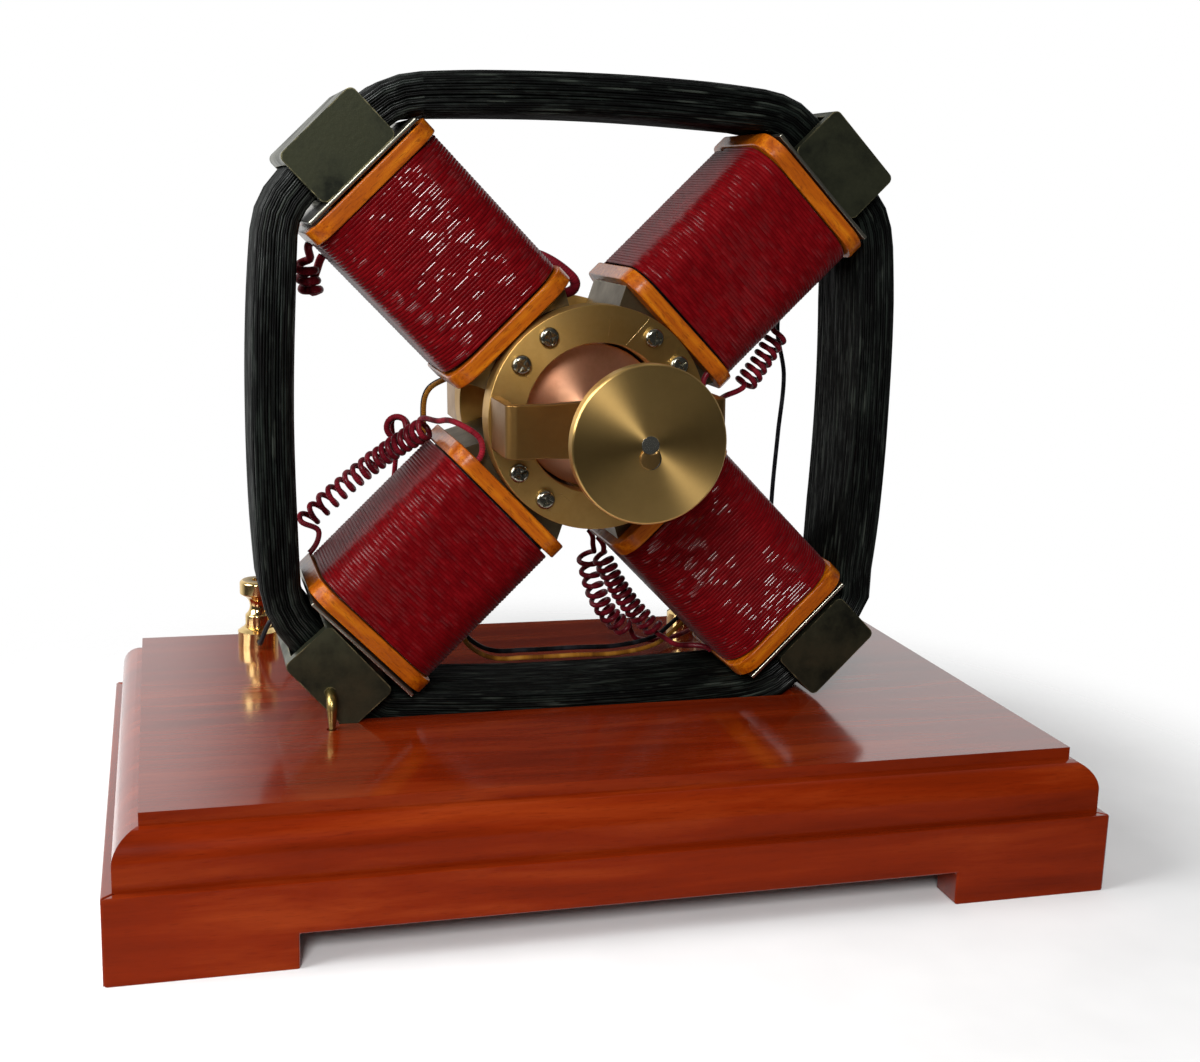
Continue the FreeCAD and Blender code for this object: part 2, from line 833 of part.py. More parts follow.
def bundle_station(station, outward, along):
    """A place in the bundle, off its middle by a distance outward and one along Y."""
    place, way = station
    return place.add(Vector(-way.z * outward, along, way.x * outward)), way


def yoke_route():
    """One wire that goes round the frame again and again while it walks round the bundle."""
    stations = bundle_stations()
    steps = yoke_loops * len(stations)
    route = []
    for step in range(steps - 1):
        outward, along = section_place(step / steps)
        route.append(bundle_station(stations[step % len(stations)], outward, along))
    return follow(route)


def yoke_ring(outward):
    """Closed line round the frame at a steady distance outward of the bundle's middle."""
    route = [bundle_station(station, outward, 0) for station in bundle_stations()]
    return Part.Wire(follow(route + route[:1]))


def yoke_core():
    skin = yoke_wire + core_clearance
    half = yoke_thickness / 2 - skin
    depth = yoke_depth - 2 * skin
    ring = Part.Face(yoke_ring(half)).cut(Part.Face(yoke_ring(-half))).Faces[0]
    core = ring.extrude(Vector(0, depth, 0))
    core.translate(Vector(0, -depth / 2, 0))
    return core


def yoke_slot():
    """What the lower limb takes out of the top board."""
    depth = yoke_depth + 2 * yoke_slot_clearance
    tool = Part.Face(yoke_ring(yoke_thickness / 2 + yoke_slot_clearance)).extrude(Vector(0, depth, 0))
    tool.translate(Vector(0, -depth / 2, 0))
    return tool


# Binding posts

def post_base():
    """Turned base with a hole for the lead and the stud that runs down through the board."""
    radius = post_base_diameter / 2
    bevel_top = post_base_height + post_bevel_height
    base = Part.makeCylinder(radius, post_base_height)
    bevel = Part.makeCone(radius, post_bevel_diameter / 2, post_bevel_height, Vector(0, 0, post_base_height))
    tail = board_top - skirt_height + post_tail
    head_top = bevel_top + washer_thickness + post_collar_height + post_cove_height + post_head_height
    stud = Part.makeCylinder(post_stud_diameter / 2, tail + head_top - post_stud_recess, Vector(0, 0, -tail))
    slot = box_between(
        Vector(-post_stud_diameter, -post_stud_slot / 2, head_top - post_stud_recess - post_stud_slot_depth),
        Vector(post_stud_diameter, post_stud_slot / 2, head_top + cut_overrun))
    hole = Part.makeCylinder(lead_wire / 2 + lead_hole_clearance, lead_hole_depth + cut_overrun,
                             Vector(0, -radius + lead_hole_depth, post_base_height / 2), Vector(0, -1, 0))
    return base.fuse([bevel, stud]).cut(slot).cut(hole)


def on_board(shape, x, height=0.0):
    copy = shape.copy()
    copy.translate(Vector(x, post_y, board_top + height))
    return copy


def post_bases():
    return Part.makeCompound([on_board(post_base(), x) for x in posts.values()])


def post_washer(x):
    bore = post_stud_diameter / 2 + post_stud_clearance
    washer = Part.makeCylinder(washer_diameter / 2, washer_thickness)
    washer = washer.cut(Part.makeCylinder(bore, washer_thickness))
    return on_board(washer, x, post_base_height + post_bevel_height)


def post_head(x):
    """Turned head: collar, hollow waist and milled rim, in one outline."""
    collar = post_collar_diameter / 2
    waist = post_waist_diameter / 2
    rim = post_head_diameter / 2
    neck = post_collar_height + post_cove_height
    top = neck + post_head_height
    under = post_head_diameter * under_rim_share
    points = [Vector(0, 0, 0), Vector(collar, 0, 0), Vector(collar, 0, post_collar_height)]
    waist_place = Vector(waist, 0, post_collar_height + post_cove_height * waist_share)
    under_place = Vector(under, 0, neck)
    outline = [Part.LineSegment(a, b).toShape() for a, b in zip(points, points[1:])]
    outline.append(Part.Arc(points[-1], waist_place, under_place).toShape())
    rest = [under_place, Vector(rim, 0, neck + post_head_bevel), Vector(rim, 0, top - post_head_bevel),
            Vector(rim - post_head_bevel, 0, top), Vector(0, 0, top), Vector(0, 0, 0)]
    outline += [Part.LineSegment(a, b).toShape() for a, b in zip(rest, rest[1:])]
    head = Part.Face(Part.Wire(outline)).revolve(Vector(0, 0, 0), Vector(0, 0, 1), 360)
    bore = post_stud_diameter / 2 + post_stud_clearance
    head = head.cut(Part.makeCylinder(bore, top))
    return on_board(head, x, post_base_height + post_bevel_height + washer_thickness)


def post_nuts():
    """Hexagon nuts with washers under the board."""
    pieces = []
    bore = Part.makeCylinder(post_stud_diameter / 2, skirt_height)
    points = []
    for corner in range(7):
        angle = math.radians(60 * corner)
        reach = post_nut_width / math.sqrt(3)
        points.append(Vector(reach * math.cos(angle), reach * math.sin(angle), 0))
    nut = Part.Face(Part.makePolygon(points)).extrude(Vector(0, 0, post_nut_height)).cut(bore)
    washer = Part.makeCylinder(post_nut_washer / 2, post_nut_washer_height).cut(bore)
    washer_z = skirt_height - post_nut_washer_height
    for x in posts.values():
        for shape, z in ((washer, washer_z), (nut, washer_z - post_nut_height)):
            copy = shape.copy()
            copy.translate(Vector(x, post_y, z))
            pieces.append(copy)
    return Part.makeCompound(pieces)


# Curly leads

def curve_place(points, share):
    """A place on the smooth curve that the points steer."""
    work = list(points)
    while len(work) > 1:
        work = [a * (1 - share) + b * share for a, b in zip(work, work[1:])]
    return work[0]


def curls(axis_points, radius, count, start_turn):
    """Stations every quarter turn of a helix round a gently curved axis."""
    upright = Vector(0, 1, 0)
    if abs(unit(axis_points[-1].sub(axis_points[0])).y) > steep_share:
        upright = Vector(0, 0, 1)

    def place(turn):
        share = turn / (2 * math.pi * count)
        small = curve_step_share
        middle = curve_place(axis_points, share)
        way = unit(curve_place(axis_points, share + small).sub(curve_place(axis_points, share - small)))
        side = unit(way.cross(upright))
        lift = side.cross(way)
        angle = turn + math.radians(start_turn)
        return middle.add(side * (radius * math.cos(angle))).add(lift * (radius * math.sin(angle)))

    stations = []
    for quarter in range(4 * count + 1):
        turn = quarter * math.pi / 2
        near = turn_step_share
        stations.append((place(turn), unit(place(turn + near).sub(place(turn - near)))))
    return stations


def curly_lead(name, start, middle, end):
    """A lead with straight ends one wire long and curls between them."""
    first, first_way = start[0]
    last, last_way = end[-1]
    stations = [(first, first_way), (first.add(first_way * lead_wire), first_way)] + start[1:]
    stations += middle + end[:-1]
    stations += [(last.sub(last_way * lead_wire), last_way), (last, last_way)]
    edges = follow(stations)
    solid = tube(edges, lead_wire)
    report_form(name, edges, solid, lead_wire)
    return solid


def way_at(angle, reach, depth, side):
    """A direction given in a coil's own frame."""
    return unit(at_corner(angle, reach, depth, side).sub(Vector(0, 0, axis_z)))


def lead_left():
    """Along the upper face of the lower left coil."""
    corner = corners["lower_left"]
    axis = [at_corner(corner, 87.0, 26.0, -29.8), at_corner(corner, 62.0, 21.0, -30.4),
            at_corner(corner, 50.0, 15.0, -29.2), at_corner(corner, 38.5, 4.0, -28.4)]
    start = [(at_corner(corner, winding_outer, 17.0, -lead_lift), way_at(corner, -1, 0, 0)),
             (at_corner(corner, 86.0, 19.5, -25.4), way_at(corner, -1, 0.5, -0.9))]
    end = [(at_corner(corner, 33.6, -9.0, -29.5), way_at(corner, -0.5, -1, 0.1)),
           (at_corner(corner, 30.0, -20.0, -25.0), way_at(corner, -0.3, -0.7, 1)),
           (at_corner(corner, 30.2, -22.0, -18.5), way_at(corner, 0.7, 0, 1)),
           (at_corner(corner, flange_inner, -22.0, -16.0), way_at(corner, 1, 0, 0))]
    return curly_lead("lead_left", start, curls(axis, curl_radius, 16, 320), end)


def lead_rear():
    """End-on curl between the left coils, with a tail down to a binding post."""
    corner = corners["lower_left"]
    axis = [Vector(-53.6, 21.5, axis_z - 9.2), Vector(-52.0, 31.0, axis_z - 10.7),
            Vector(-50.7, 39.5, axis_z - 12.0)]
    start = [(at_corner(corner, winding_inner, 20.0, -lead_lift), way_at(corner, 1, 0, 0)),
             (at_corner(corner, 44.0, 19.0, -26.0), way_at(corner, 0.3, 0, -1))]
    hole_y = post_y - post_base_diameter / 2
    end = [(Vector(-50.5, 46.0, axis_z - 24.0), unit(Vector(-0.05, 0.25, -1))),
           (Vector(-55.0, 54.0, board_top + 22.0), unit(Vector(-0.25, 0.1, -1))),
           (Vector(-62.0, 50.0, board_top + 4.6), unit(Vector(-0.3, 0.5, -0.6))),
           (Vector(-post_inner_x, hole_y, board_top + post_base_height / 2), Vector(0, 1, 0))]
    return curly_lead("lead_rear", start, curls(axis, loose_curl_radius, 7, 70), end)


def lead_right():
    """Under the upper right coil."""
    corner = corners["upper_right"]
    axis = [at_corner(corner, 64.0, 2.0, -31.6), at_corner(corner, 54.0, 1.0, -34.2),
            at_corner(corner, 44.5, 0.0, -34.8)]
    start = [(at_corner(corner, winding_outer, 4.0, -lead_lift), way_at(corner, -1, 0, 0)),
             (at_corner(corner, 72.0, 4.0, -27.0), way_at(corner, -1, 0, -0.6))]
    end = [(at_corner(corner, 37.0, -6.0, -31.0), way_at(corner, -0.8, -0.6, 0.5)),
           (at_corner(corner, 30.0, -20.0, -24.0), way_at(corner, -0.2, -0.6, 1)),
           (at_corner(corner, 30.2, -22.0, -18.5), way_at(corner, 0.7, 0, 1)),
           (at_corner(corner, flange_inner, -22.0, -16.0), way_at(corner, 1, 0, 0))]
    return curly_lead("lead_right", start, curls(axis, curl_radius, 7, 230), end)


def lead_lower_front():
    """Close under the lower right coil, ending at its outer flange."""
    corner = corners["lower_right"]
    axis = [at_corner(corner, 46.6, 14.0, -27.0), at_corner(corner, 58.0, 14.0, -30.5),
            at_corner(corner, 66.0, 14.0, -32.5), at_corner(corner, 79.0, 13.0, -31.6)]
    start = [(at_corner(corner, winding_inner, 10.0, -lead_lift), way_at(corner, 1, 0, 0)),
             (at_corner(corner, 44.6, 11.6, -25.0), way_at(corner, 0.9, 0.8, -0.9))]
    end = [(at_corner(corner, 83.0, 7.0, -31.0), way_at(corner, 0.8, -1, 0.1)),
           (at_corner(corner, 88.0, 1.0, -26.0), way_at(corner, 1, -0.5, 1)),
           (at_corner(corner, winding_outer, -0.5, -lead_lift), way_at(corner, 1, 0, 0))]
    return curly_lead("lead_lower_front", start, curls(axis, small_curl_radius, 12, 60), end)


def lead_lower_rear():
    """Looser curls behind it, with a tail to a binding post."""
    corner = corners["lower_right"]
    axis = [at_corner(corner, 46.5, 27.0, -29.5), at_corner(corner, 58.0, 27.5, -37.0),
            at_corner(corner, 67.0, 28.0, -40.5), at_corner(corner, 77.0, 29.0, -38.0)]
    start = [(at_corner(corner, winding_inner, 21.5, -lead_lift), way_at(corner, 1, 0, 0)),
             (at_corner(corner, 43.8, 23.2, -25.0), way_at(corner, 1, 0.9, -0.8))]
    hole_y = post_y - post_base_diameter / 2
    end = [(Vector(34.0, 35.0, board_top + 5.5), unit(Vector(1, 0.6, -0.35))),
           (Vector(52.0, 47.0, board_top + 2.4), unit(Vector(1, 0.8, 0))),
           (Vector(post_inner_x, hole_y, board_top + post_base_height / 2), Vector(0, 1, 0))]
    return curly_lead("lead_lower_rear", start, curls(axis, curl_radius, 9, 350), end)


# Plain leads, each a list of places joined by arcs as large as their runs allow

def plain_lead(name, points, diameter):
    edges = []
    start = points[0]
    radii = []
    for before, corner, after in zip(points, points[1:], points[2:]):
        into = unit(corner.sub(before))
        out = unit(after.sub(corner))
        turn = math.acos(into.dot(out))
        shorter = min(corner.sub(before).Length, after.sub(corner).Length)
        radius = arc_share * shorter / math.tan(turn / 2)
        radii.append(radius)
        reach = arc_share * shorter
        inward = unit(out.sub(into))
        middle = corner.add(inward * (radius / math.cos(turn / 2) - radius))
        begin = corner.sub(into * reach)
        finish = corner.add(out * reach)
        edges += line(start, begin)
        edges.append(Part.Arc(begin, middle, finish).toShape())
        start = finish
    edges += line(start, points[-1])
    solid = tube(edges, diameter)
    length = sum(edge.Length for edge in edges)
    section = math.pi * diameter * diameter / 4
    print("%s: length %.1f, radii %s, volume over section x length %.4f"
          % (name, length, " ".join("%.1f" % radius for radius in radii), solid.Volume / (section * length)))
    return solid


def post_hole(x):
    return Vector(x, post_y - post_base_diameter / 2, board_top + post_base_height / 2)


def post_lead_left():
    """Dark lead from the left post, up and over and behind the yoke to the lower left coil."""
    corner = corners["lower_left"]
    points = [post_hole(-post_outer_x), Vector(-95.2, 59.2, 45.9), Vector(-94.2, 57.6, 49.4),
              Vector(-92.4, 56.9, 53.6), Vector(-90.4, 56.7, 55.9), Vector(-88.3, 56.4, 55.7),
              Vector(-86.9, 55.4, 53.0), Vector(-84.9, 52.4, 49.6), Vector(-80.6, 46.6, 47.7),
              Vector(-75.6, 39.6, 48.8), Vector(-71.4, 34.4, 53.0), Vector(-67.8, 31.0, 59.2),
              at_corner(corner, 95.2, flange_depth / 2 + 5.0, 4.5),
              at_corner(corner, 95.2, flange_depth / 2, 4.5)]
    return plain_lead("post_lead_left", points, lead_wire)


def post_lead_right():
    """Dark lead from behind the upper right coil, down past the right side to its post."""
    corner = corners["upper_right"]
    points = [at_corner(corner, 95.2, flange_depth / 2, -14.4),
              at_corner(corner, 95.2, flange_depth / 2 + 6.5, -14.4),
              at_corner(corner, 90.0, flange_depth / 2 + 10.0, -26.0),
              Vector(80.5, 34.0, axis_z + 22.5), Vector(83.6, 33.5, axis_z + 6.5),
              Vector(83.0, 34.5, axis_z - 14.0), Vector(82.8, 36.5, axis_z - 36.0),
              Vector(84.0, 39.0, axis_z - 56.0), Vector(88.0, 43.0, axis_z - 72.0),
              Vector(93.0, 48.0, axis_z - 84.0), Vector(95.1, 54.5, axis_z - 89.2), post_hole(post_outer_x)]
    return plain_lead("post_lead_right", points, lead_wire)


def cross_lead(name, behind, above):
    """One of the two leads from the upper left coil, down behind and along the foot of the yoke."""
    left = corners["upper_left"]
    right = corners["lower_right"]
    foot = limb_top + lead_wire / 8 + above
    points = [at_corner(left, flange_inner, 20.9 + behind, 17.5),
              at_corner(left, flange_inner - 4.0, 20.9 + behind, 17.5),
              Vector(-43.0, 24.0 + behind, axis_z + 2.5), Vector(-44.0, 27.5 + behind, axis_z - 7.5),
              Vector(-42.5, 29.0 + behind, axis_z - 24.0), Vector(-39.5, 28.6 + behind, axis_z - 44.0),
              Vector(-36.5, 26.0 + behind, axis_z - 62.0), Vector(-31.5, 21.0 + behind, foot + 8.0),
              Vector(-23.0, 18.4 + behind, foot + 1.4), Vector(-10.0, 17.7 + behind, foot + 0.7),
              Vector(7.0, 17.6 + behind, foot + 0.8), Vector(22.0, 17.9 + behind, foot + 0.7),
              Vector(36.0, 20.3 + behind, foot + 2.6), Vector(47.0, 25.5 + behind, foot + 8.0),
              at_corner(right, 95.0, flange_depth / 2 + 6.0 + behind, -5.8 + above),
              at_corner(right, 95.0, flange_depth / 2, -5.8 + above)]
    return plain_lead(name, points, lead_wire)


def cross_leads():
    brown = cross_lead("cross_lead_brown", 0.0, 0.0)
    black = cross_lead("cross_lead_black", 2.3, 2.0)
    return Part.makeCompound([brown, black])


def write(name, shape):
    shape.exportStep("parts/%s.step" % name)
    print("%s: %d solid(s), %.1f cubic mm, valid %s"
          % (name, len(shape.Solids), shape.Volume, shape.isValid()))


def main():
    os.makedirs("parts", exist_ok=True)
    write("top_board", top_board())
    front = skirt_board(plinth_length, plinth_depth / 2)
    write("front_board", front)
    write("rear_board", front.mirror(Vector(0, 0, 0), Vector(0, 1, 0)))
    side = skirt_board(plinth_depth, plinth_length / 2)
    side.rotate(Vector(0, 0, 0), Vector(0, 0, 1), -90)
    write("left_board", side)
    write("right_board", side.mirror(Vector(0, 0, 0), Vector(1, 0, 0)))
    write("glue_blocks", glue_blocks())
    write("hold_down_hooks", hold_down_hooks())

    write("post_bases", post_bases())
    write("post_nuts", post_nuts())
    for name, x in posts.items():
        write("post_washer_" + name, post_washer(x))
        write("post_head_" + name, post_head(x))

    winding_edges = winding_route()
    winding = tube(winding_edges, winding_wire)
    report_form("winding", winding_edges, winding, winding_wire)
    cores = []
    plates = []
    for name, angle in corners.items():
        write("pole_" + name, turn_to_corner(pole(), angle))
        write("inner_flange_" + name, flange(flange_inner, angle))
        write("outer_flange_" + name, flange(winding_outer, angle))
        write("winding_" + name, turn_to_corner(winding, angle))
        write("corner_block_" + name, corner_block(name))
        cores.append(turn_to_corner(winding_core(), angle))
        plates.append(turn_to_corner(end_plate(), angle))
    write("winding_cores", Part.makeCompound(cores))
    write("end_plates", Part.makeCompound(plates))

    write("yoke_core", yoke_core())
    yoke_edges = yoke_route()
    yoke = tube(yoke_edges, yoke_wire)
    report_form("yoke_wires", yoke_edges, yoke, yoke_wire)
    write("yoke_wires", yoke)

    write("front_ring", turn_to_corner(end_ring(-1), corners["upper_right"]))
    write("rear_ring", turn_to_corner(end_ring(1), corners["upper_right"]))
    write("ring_screws", ring_screws())
    write("front_bridge", bridge(-1))
    write("rear_bridge", bridge(1))
    write("bearing_bushes", bearing_bushes())

    write("copper_rotor", copper_rotor())
    write("rotor_core", rotor_core())
    write("shaft", shaft())
    write("drive_disc", drive_disc())
    write("disc_key", disc_key())

    write("lead_left", lead_left())
    write("lead_rear", lead_rear())
    write("lead_right", lead_right())
    write("lead_lower_front", lead_lower_front())
    write("lead_lower_rear", lead_lower_rear())
    write("post_lead_left", post_lead_left())
    write("post_lead_right", post_lead_right())
    write("cross_leads", cross_leads())


main()
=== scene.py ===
import math

import bpy
import numpy as np
from mathutils import Matrix, Vector


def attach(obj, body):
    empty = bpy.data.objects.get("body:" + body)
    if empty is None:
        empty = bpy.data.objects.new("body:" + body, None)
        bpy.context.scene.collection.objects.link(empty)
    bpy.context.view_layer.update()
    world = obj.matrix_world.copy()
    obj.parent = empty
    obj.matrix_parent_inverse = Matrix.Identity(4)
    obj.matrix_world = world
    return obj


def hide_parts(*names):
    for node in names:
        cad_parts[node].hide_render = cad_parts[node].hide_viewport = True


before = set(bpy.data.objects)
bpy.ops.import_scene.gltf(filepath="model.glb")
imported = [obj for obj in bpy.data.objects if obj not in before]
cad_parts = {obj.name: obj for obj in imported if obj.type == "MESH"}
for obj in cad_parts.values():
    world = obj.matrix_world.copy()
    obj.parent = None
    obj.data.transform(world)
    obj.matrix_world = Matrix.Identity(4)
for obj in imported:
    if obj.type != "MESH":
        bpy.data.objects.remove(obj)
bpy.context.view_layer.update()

mm = 0.001
print("frame loaded")

# Main lines of the motor in mm, the same as the solids have
motor = {
    "axisHeight": 135.7,
    "boardTop": 42.8,
    "corners": {"upper_left": -135.0, "upper_right": -45.0, "lower_right": 45.0, "lower_left": 135.0},
    "windingInner": 39.5,
    "windingOuter": 92.5,
    "flangeInner": 34.5,
    "postPlace": {"left_outer": -95.4, "left_inner": -63.4, "right_inner": 63.4, "right_outer": 95.4},
    "postDepth": 62.3,
    "postHoleHeight": 45.4,
}


# Camera
camera = {
    "place": (-126.64, -479.61, 199.25),   # mm
    "right": (0.96345, -0.26615, 0.03048),
    "up": (0.02563, 0.20484, 0.97846),
    "forward": (0.26666, 0.94191, -0.20418),
    "lens": 47.284,                        # mm, as the frame's width below
    "frameWidth": 36,
    "nearest": 0.01,                       # metres
}


def makeCamera():
    data = bpy.data.cameras.new("studioCamera")
    data.lens = camera["lens"]
    data.sensor_width = camera["frameWidth"]
    data.clip_start = camera["nearest"]
    shot = bpy.data.objects.new("studioCamera", data)
    bpy.context.scene.collection.objects.link(shot)
    axes = [Vector(camera["right"]), Vector(camera["up"]), -Vector(camera["forward"])]
    turn = Matrix(axes).transposed().to_4x4()
    shot.matrix_world = Matrix.Translation(Vector(camera["place"]) * mm) @ turn
    bpy.context.scene.camera = shot


makeCamera()
print("camera set")


# Nodes
def linear(hexColour):
    channels = [int(hexColour[i:i + 2], 16) / 255 for i in (1, 3, 5)]
    return [c / 12.92 if c <= 0.04045 else ((c + 0.055) / 1.055) ** 2.4 for c in channels] + [1.0]


# A node with its settings and its links, in one dictionary
def addNode(tree, kind, settings=None):
    node = tree.nodes.new("ShaderNode" + kind)
    for name, value in (settings or {}).items():
        if isinstance(value, str) and value.startswith("#"):
            value = linear(value)
        if name == "stops":                    # a colour ramp's places and colours
            ramp = node.color_ramp
            while len(ramp.elements) < len(value):
                ramp.elements.new(0.5)
            for element, (place, colour) in zip(ramp.elements, value):
                element.position = place
                element.color = linear(colour)
        elif isinstance(value, bpy.types.NodeSocket):
            tree.links.new(value, node.inputs[name])
        elif isinstance(name, str) and hasattr(node, name):
            setattr(node, name, value)
        else:
            node.inputs[name].default_value = value
    return node


def feed(shader, name, source):
    shader.id_data.links.new(source, shader.inputs[name])


def startMaterial(name, surface):
    material = bpy.data.materials.new(name)
    material.use_nodes = True
    tree = material.node_tree
    tree.nodes.clear()
    shader = addNode(tree, "BsdfPrincipled", surface)
    addNode(tree, "OutputMaterial", {"Surface": shader.outputs[0]})
    return material, tree, shader


# Pattern coordinates where one unit is the given size in mm, turned about the motor axis
def patternSpace(tree, sizes, turn=0.0):
    place = addNode(tree, "TexCoord")
    return addNode(tree, "Mapping", {
        "vector_type": "TEXTURE",
        "Location": (0, 0, motor["axisHeight"] * mm),
        "Rotation": (0, math.radians(turn), 0),
        "Scale": tuple(size * mm for size in sizes),
        "Vector": place.outputs["Object"],
    }).outputs[0]


# Cloudy pattern whose clouds have the given sizes in mm
def cloudNode(tree, sizes, detail, roughness=0.5, turn=0.0):
    return addNode(tree, "TexNoise", {"Scale": 1.0, "Detail": detail, "Roughness": roughness,
                                      "Vector": patternSpace(tree, sizes, turn)})


# Cloudy pattern along a wire, its clouds the given length in mm
def wireCloud(tree, along, length, detail, roughness=0.5):
    return addNode(tree, "TexNoise", {
        "noise_dimensions": "1D", "Scale": 1 / length, "Detail": detail, "Roughness": roughness, "W": along,
    }).outputs[0]


# A value stretched from one range to another and held at its ends
def stretch(tree, value, begin, end, low=0.0, high=1.0, kind="LINEAR"):
    return addNode(tree, "MapRange", {
        "interpolation_type": kind, "From Min": begin, "From Max": end, "To Min": low, "To Max": high,
        "Value": value,
    }).outputs[0]


def colourRamp(tree, value, *stops):
    return addNode(tree, "ValToRGB", {"stops": stops, "Fac": value}).outputs[0]


# Two colours, each a hex code or a socket, mixed by a share of the second
def mixColours(tree, share, first, second):
    return addNode(tree, "Mix", {"data_type": "RGBA", 0: share, 6: first, 7: second}).outputs[2]


def bumpNode(tree, height, deep, under=None, invert=False):
    bump = addNode(tree, "Bump", {"Distance": deep * mm, "invert": invert, "Height": height})
    if under is not None:
        feed(bump, "Normal", under)
    return bump.outputs[0]


# A value that rises where a surface is seen at a slant, for varnish that shines there
def slantMask(tree, begin, end, low, high):
    slant = addNode(tree, "LayerWeight", {"Blend": 0.5})
    return stretch(tree, slant.outputs["Facing"], begin, end, low, high)


# A mask that is 1 on the edges of a solid and 0 on its faces
def edgeMask(tree, radius, low, high):
    rounded = addNode(tree, "Bevel", {"samples": 6, "Radius": radius * mm})
    flat = addNode(tree, "NewGeometry")
    along = addNode(tree, "VectorMath", {"operation": "DOT_PRODUCT",
                                         0: rounded.outputs[0], 1: flat.outputs["Normal"]})
    return stretch(tree, along.outputs["Value"], high, low)


# Plinth: mahogany, planed and French polished
# Red-brown figure with fine dark pores, under a film that shines most at a slant
mahogany = {
    "dark": "#5c1602",
    "middle": "#731f03",
    "light": "#8b330f",
    "pore": "#4a1002",
    "figure": (120.0, 9.0),     # mm along and across the grain
    "warp": (160.0, 40.0),
    "warpDeep": 1.6,
    "pores": (5.0, 0.35),       # drawn coarser than real so that they show
    "poreDeep": 0.02,
    "ripple": (22.0, 22.0),
    "rippleDeep": 0.03,
    "polish": 0.13,
    "shine": (0.25, 0.62, 0.03, 1.0),
}


def mahoganyMaterial(name, acrossX):
    look = mahogany
    material, tree, shader = startMaterial(name, {
        "Roughness": 0.4, "IOR": 1.5, "Specular IOR Level": 0.03,
        "Coat Roughness": look["polish"], "Coat IOR": 1.8,
    })

    def sizes(key):
        length, width = look[key]
        return (width, length, width) if acrossX else (length, width, width)

    warp = cloudNode(tree, sizes("warp"), 2.0)
    figureSpace = addNode(tree, "VectorMath", {
        "operation": "MULTIPLY_ADD", 0: warp.outputs["Color"], 1: (look["warpDeep"],) * 3,
        2: patternSpace(tree, sizes("figure"))})
    figure = addNode(tree, "TexNoise", {"Scale": 1.0, "Detail": 6.0, "Roughness": 0.6,
                                        "Vector": figureSpace.outputs[0]})
    tone = colourRamp(tree, figure.outputs[0],
                      (0.28, look["dark"]), (0.5, look["middle"]), (0.74, look["light"]))
    pores = cloudNode(tree, sizes("pores"), 3.0, 0.55)
    poreMask = stretch(tree, pores.outputs[0], 0.56, 0.72, 0.0, 0.4)
    feed(shader, "Base Color", mixColours(tree, poreMask, tone, look["pore"]))
    ripple = cloudNode(tree, sizes("ripple"), 2.0)
    film = bumpNode(tree, ripple.outputs[0], look["rippleDeep"])
    wood = bumpNode(tree, poreMask, look["poreDeep"], film, invert=True)
    feed(shader, "Normal", wood)
    feed(shader, "Coat Normal", film)
    feed(shader, "Coat Weight", slantMask(tree, *look["shine"]))
    return material


# Glue blocks: plain sawn wood
# Pale and dry with saw marks across the grain
sawnWood = {"dark": "#7d5836", "light": "#b48a5c", "grain": (1.2, 1.2, 18.0), "dentDeep": 0.1}


def sawnWoodMaterial():
    look = sawnWood
    material, tree, shader = startMaterial("pineSawn", {"Roughness": 0.75, "IOR": 1.5})
    grain = cloudNode(tree, look["grain"], 5.0).outputs[0]
    tone = colourRamp(tree, grain, (0.3, look["dark"]), (0.7, look["light"]))
    feed(shader, "Base Color", tone)
    feed(shader, "Normal", bumpNode(tree, grain, look["dentDeep"]))
    return material


# Coil flanges: close-grained wood, stained amber and varnished
# Warm orange with short dark grain strokes, and small glints on the uneven varnish
flangeWood = {
    "dark": "#863a02",
    "middle": "#a14e02",
    "light": "#bd6c08",
    "stroke": "#6b2f02",
    "grain": (2.2, 2.2, 26.0),
    "strokes": (0.55, 0.55, 3.2),
    "runs": (2.6, 2.6, 4.5),
    "varnishDeep": 0.12,
    "shine": (0.2, 0.7, 0.2, 0.8),
}


def flangeMaterial(corner):
    look = flangeWood
    turn = motor["corners"][corner]
    material, tree, shader = startMaterial("flangeWoodVarnished_" + corner, {
        "Roughness": 0.5, "IOR": 1.5, "Specular IOR Level": 0.1,
        "Coat Roughness": 0.2, "Coat IOR": 1.5})
    feed(shader, "Coat Weight", slantMask(tree, *look["shine"]))
    grain = cloudNode(tree, look["grain"], 5.0, 0.6, turn).outputs[0]
    tone = colourRamp(tree, grain, (0.3, look["dark"]), (0.48, look["middle"]), (0.7, look["light"]))
    strokes = cloudNode(tree, look["strokes"], 2.0, turn=turn).outputs[0]
    strokeMask = stretch(tree, strokes, 0.56, 0.66, 0.0, 0.6)
    feed(shader, "Base Color", mixColours(tree, strokeMask, tone, look["stroke"]))
    runs = cloudNode(tree, look["runs"], 3.0, turn=turn).outputs[0]
    film = bumpNode(tree, runs, look["varnishDeep"])
    feed(shader, "Normal", film)
    feed(shader, "Coat Normal", film)
    return material


# Coil wire: silk-covered copper, wrapped and varnished
# Crimson thread, paler at a slant, with glints along each turn where the varnish lies thick
silk = {
    "dark": "#560207",
    "middle": "#620409",
    "light": "#70090f",
    "wrap": 0.7,             # mm between threads, drawn coarser than real so that it shows
    "wrapDeep": 0.008,
    "shade": 9.0,
    "dash": 7.0,
    "patch": 26.0,
    "patchShare": 0.9,
    "shine": (0.45, 0.75, 0.0, 1.0),
    "slantCoat": 0.35,
}
thickVarnish = {"roughness": 0.14, "ior": 1.6, "glint": (1.03, 1.1, 0.02, 0.9)}
thinVarnish = {"roughness": 0.3, "ior": 1.5, "glint": (0.9, 1.1, 0.02, 0.5)}


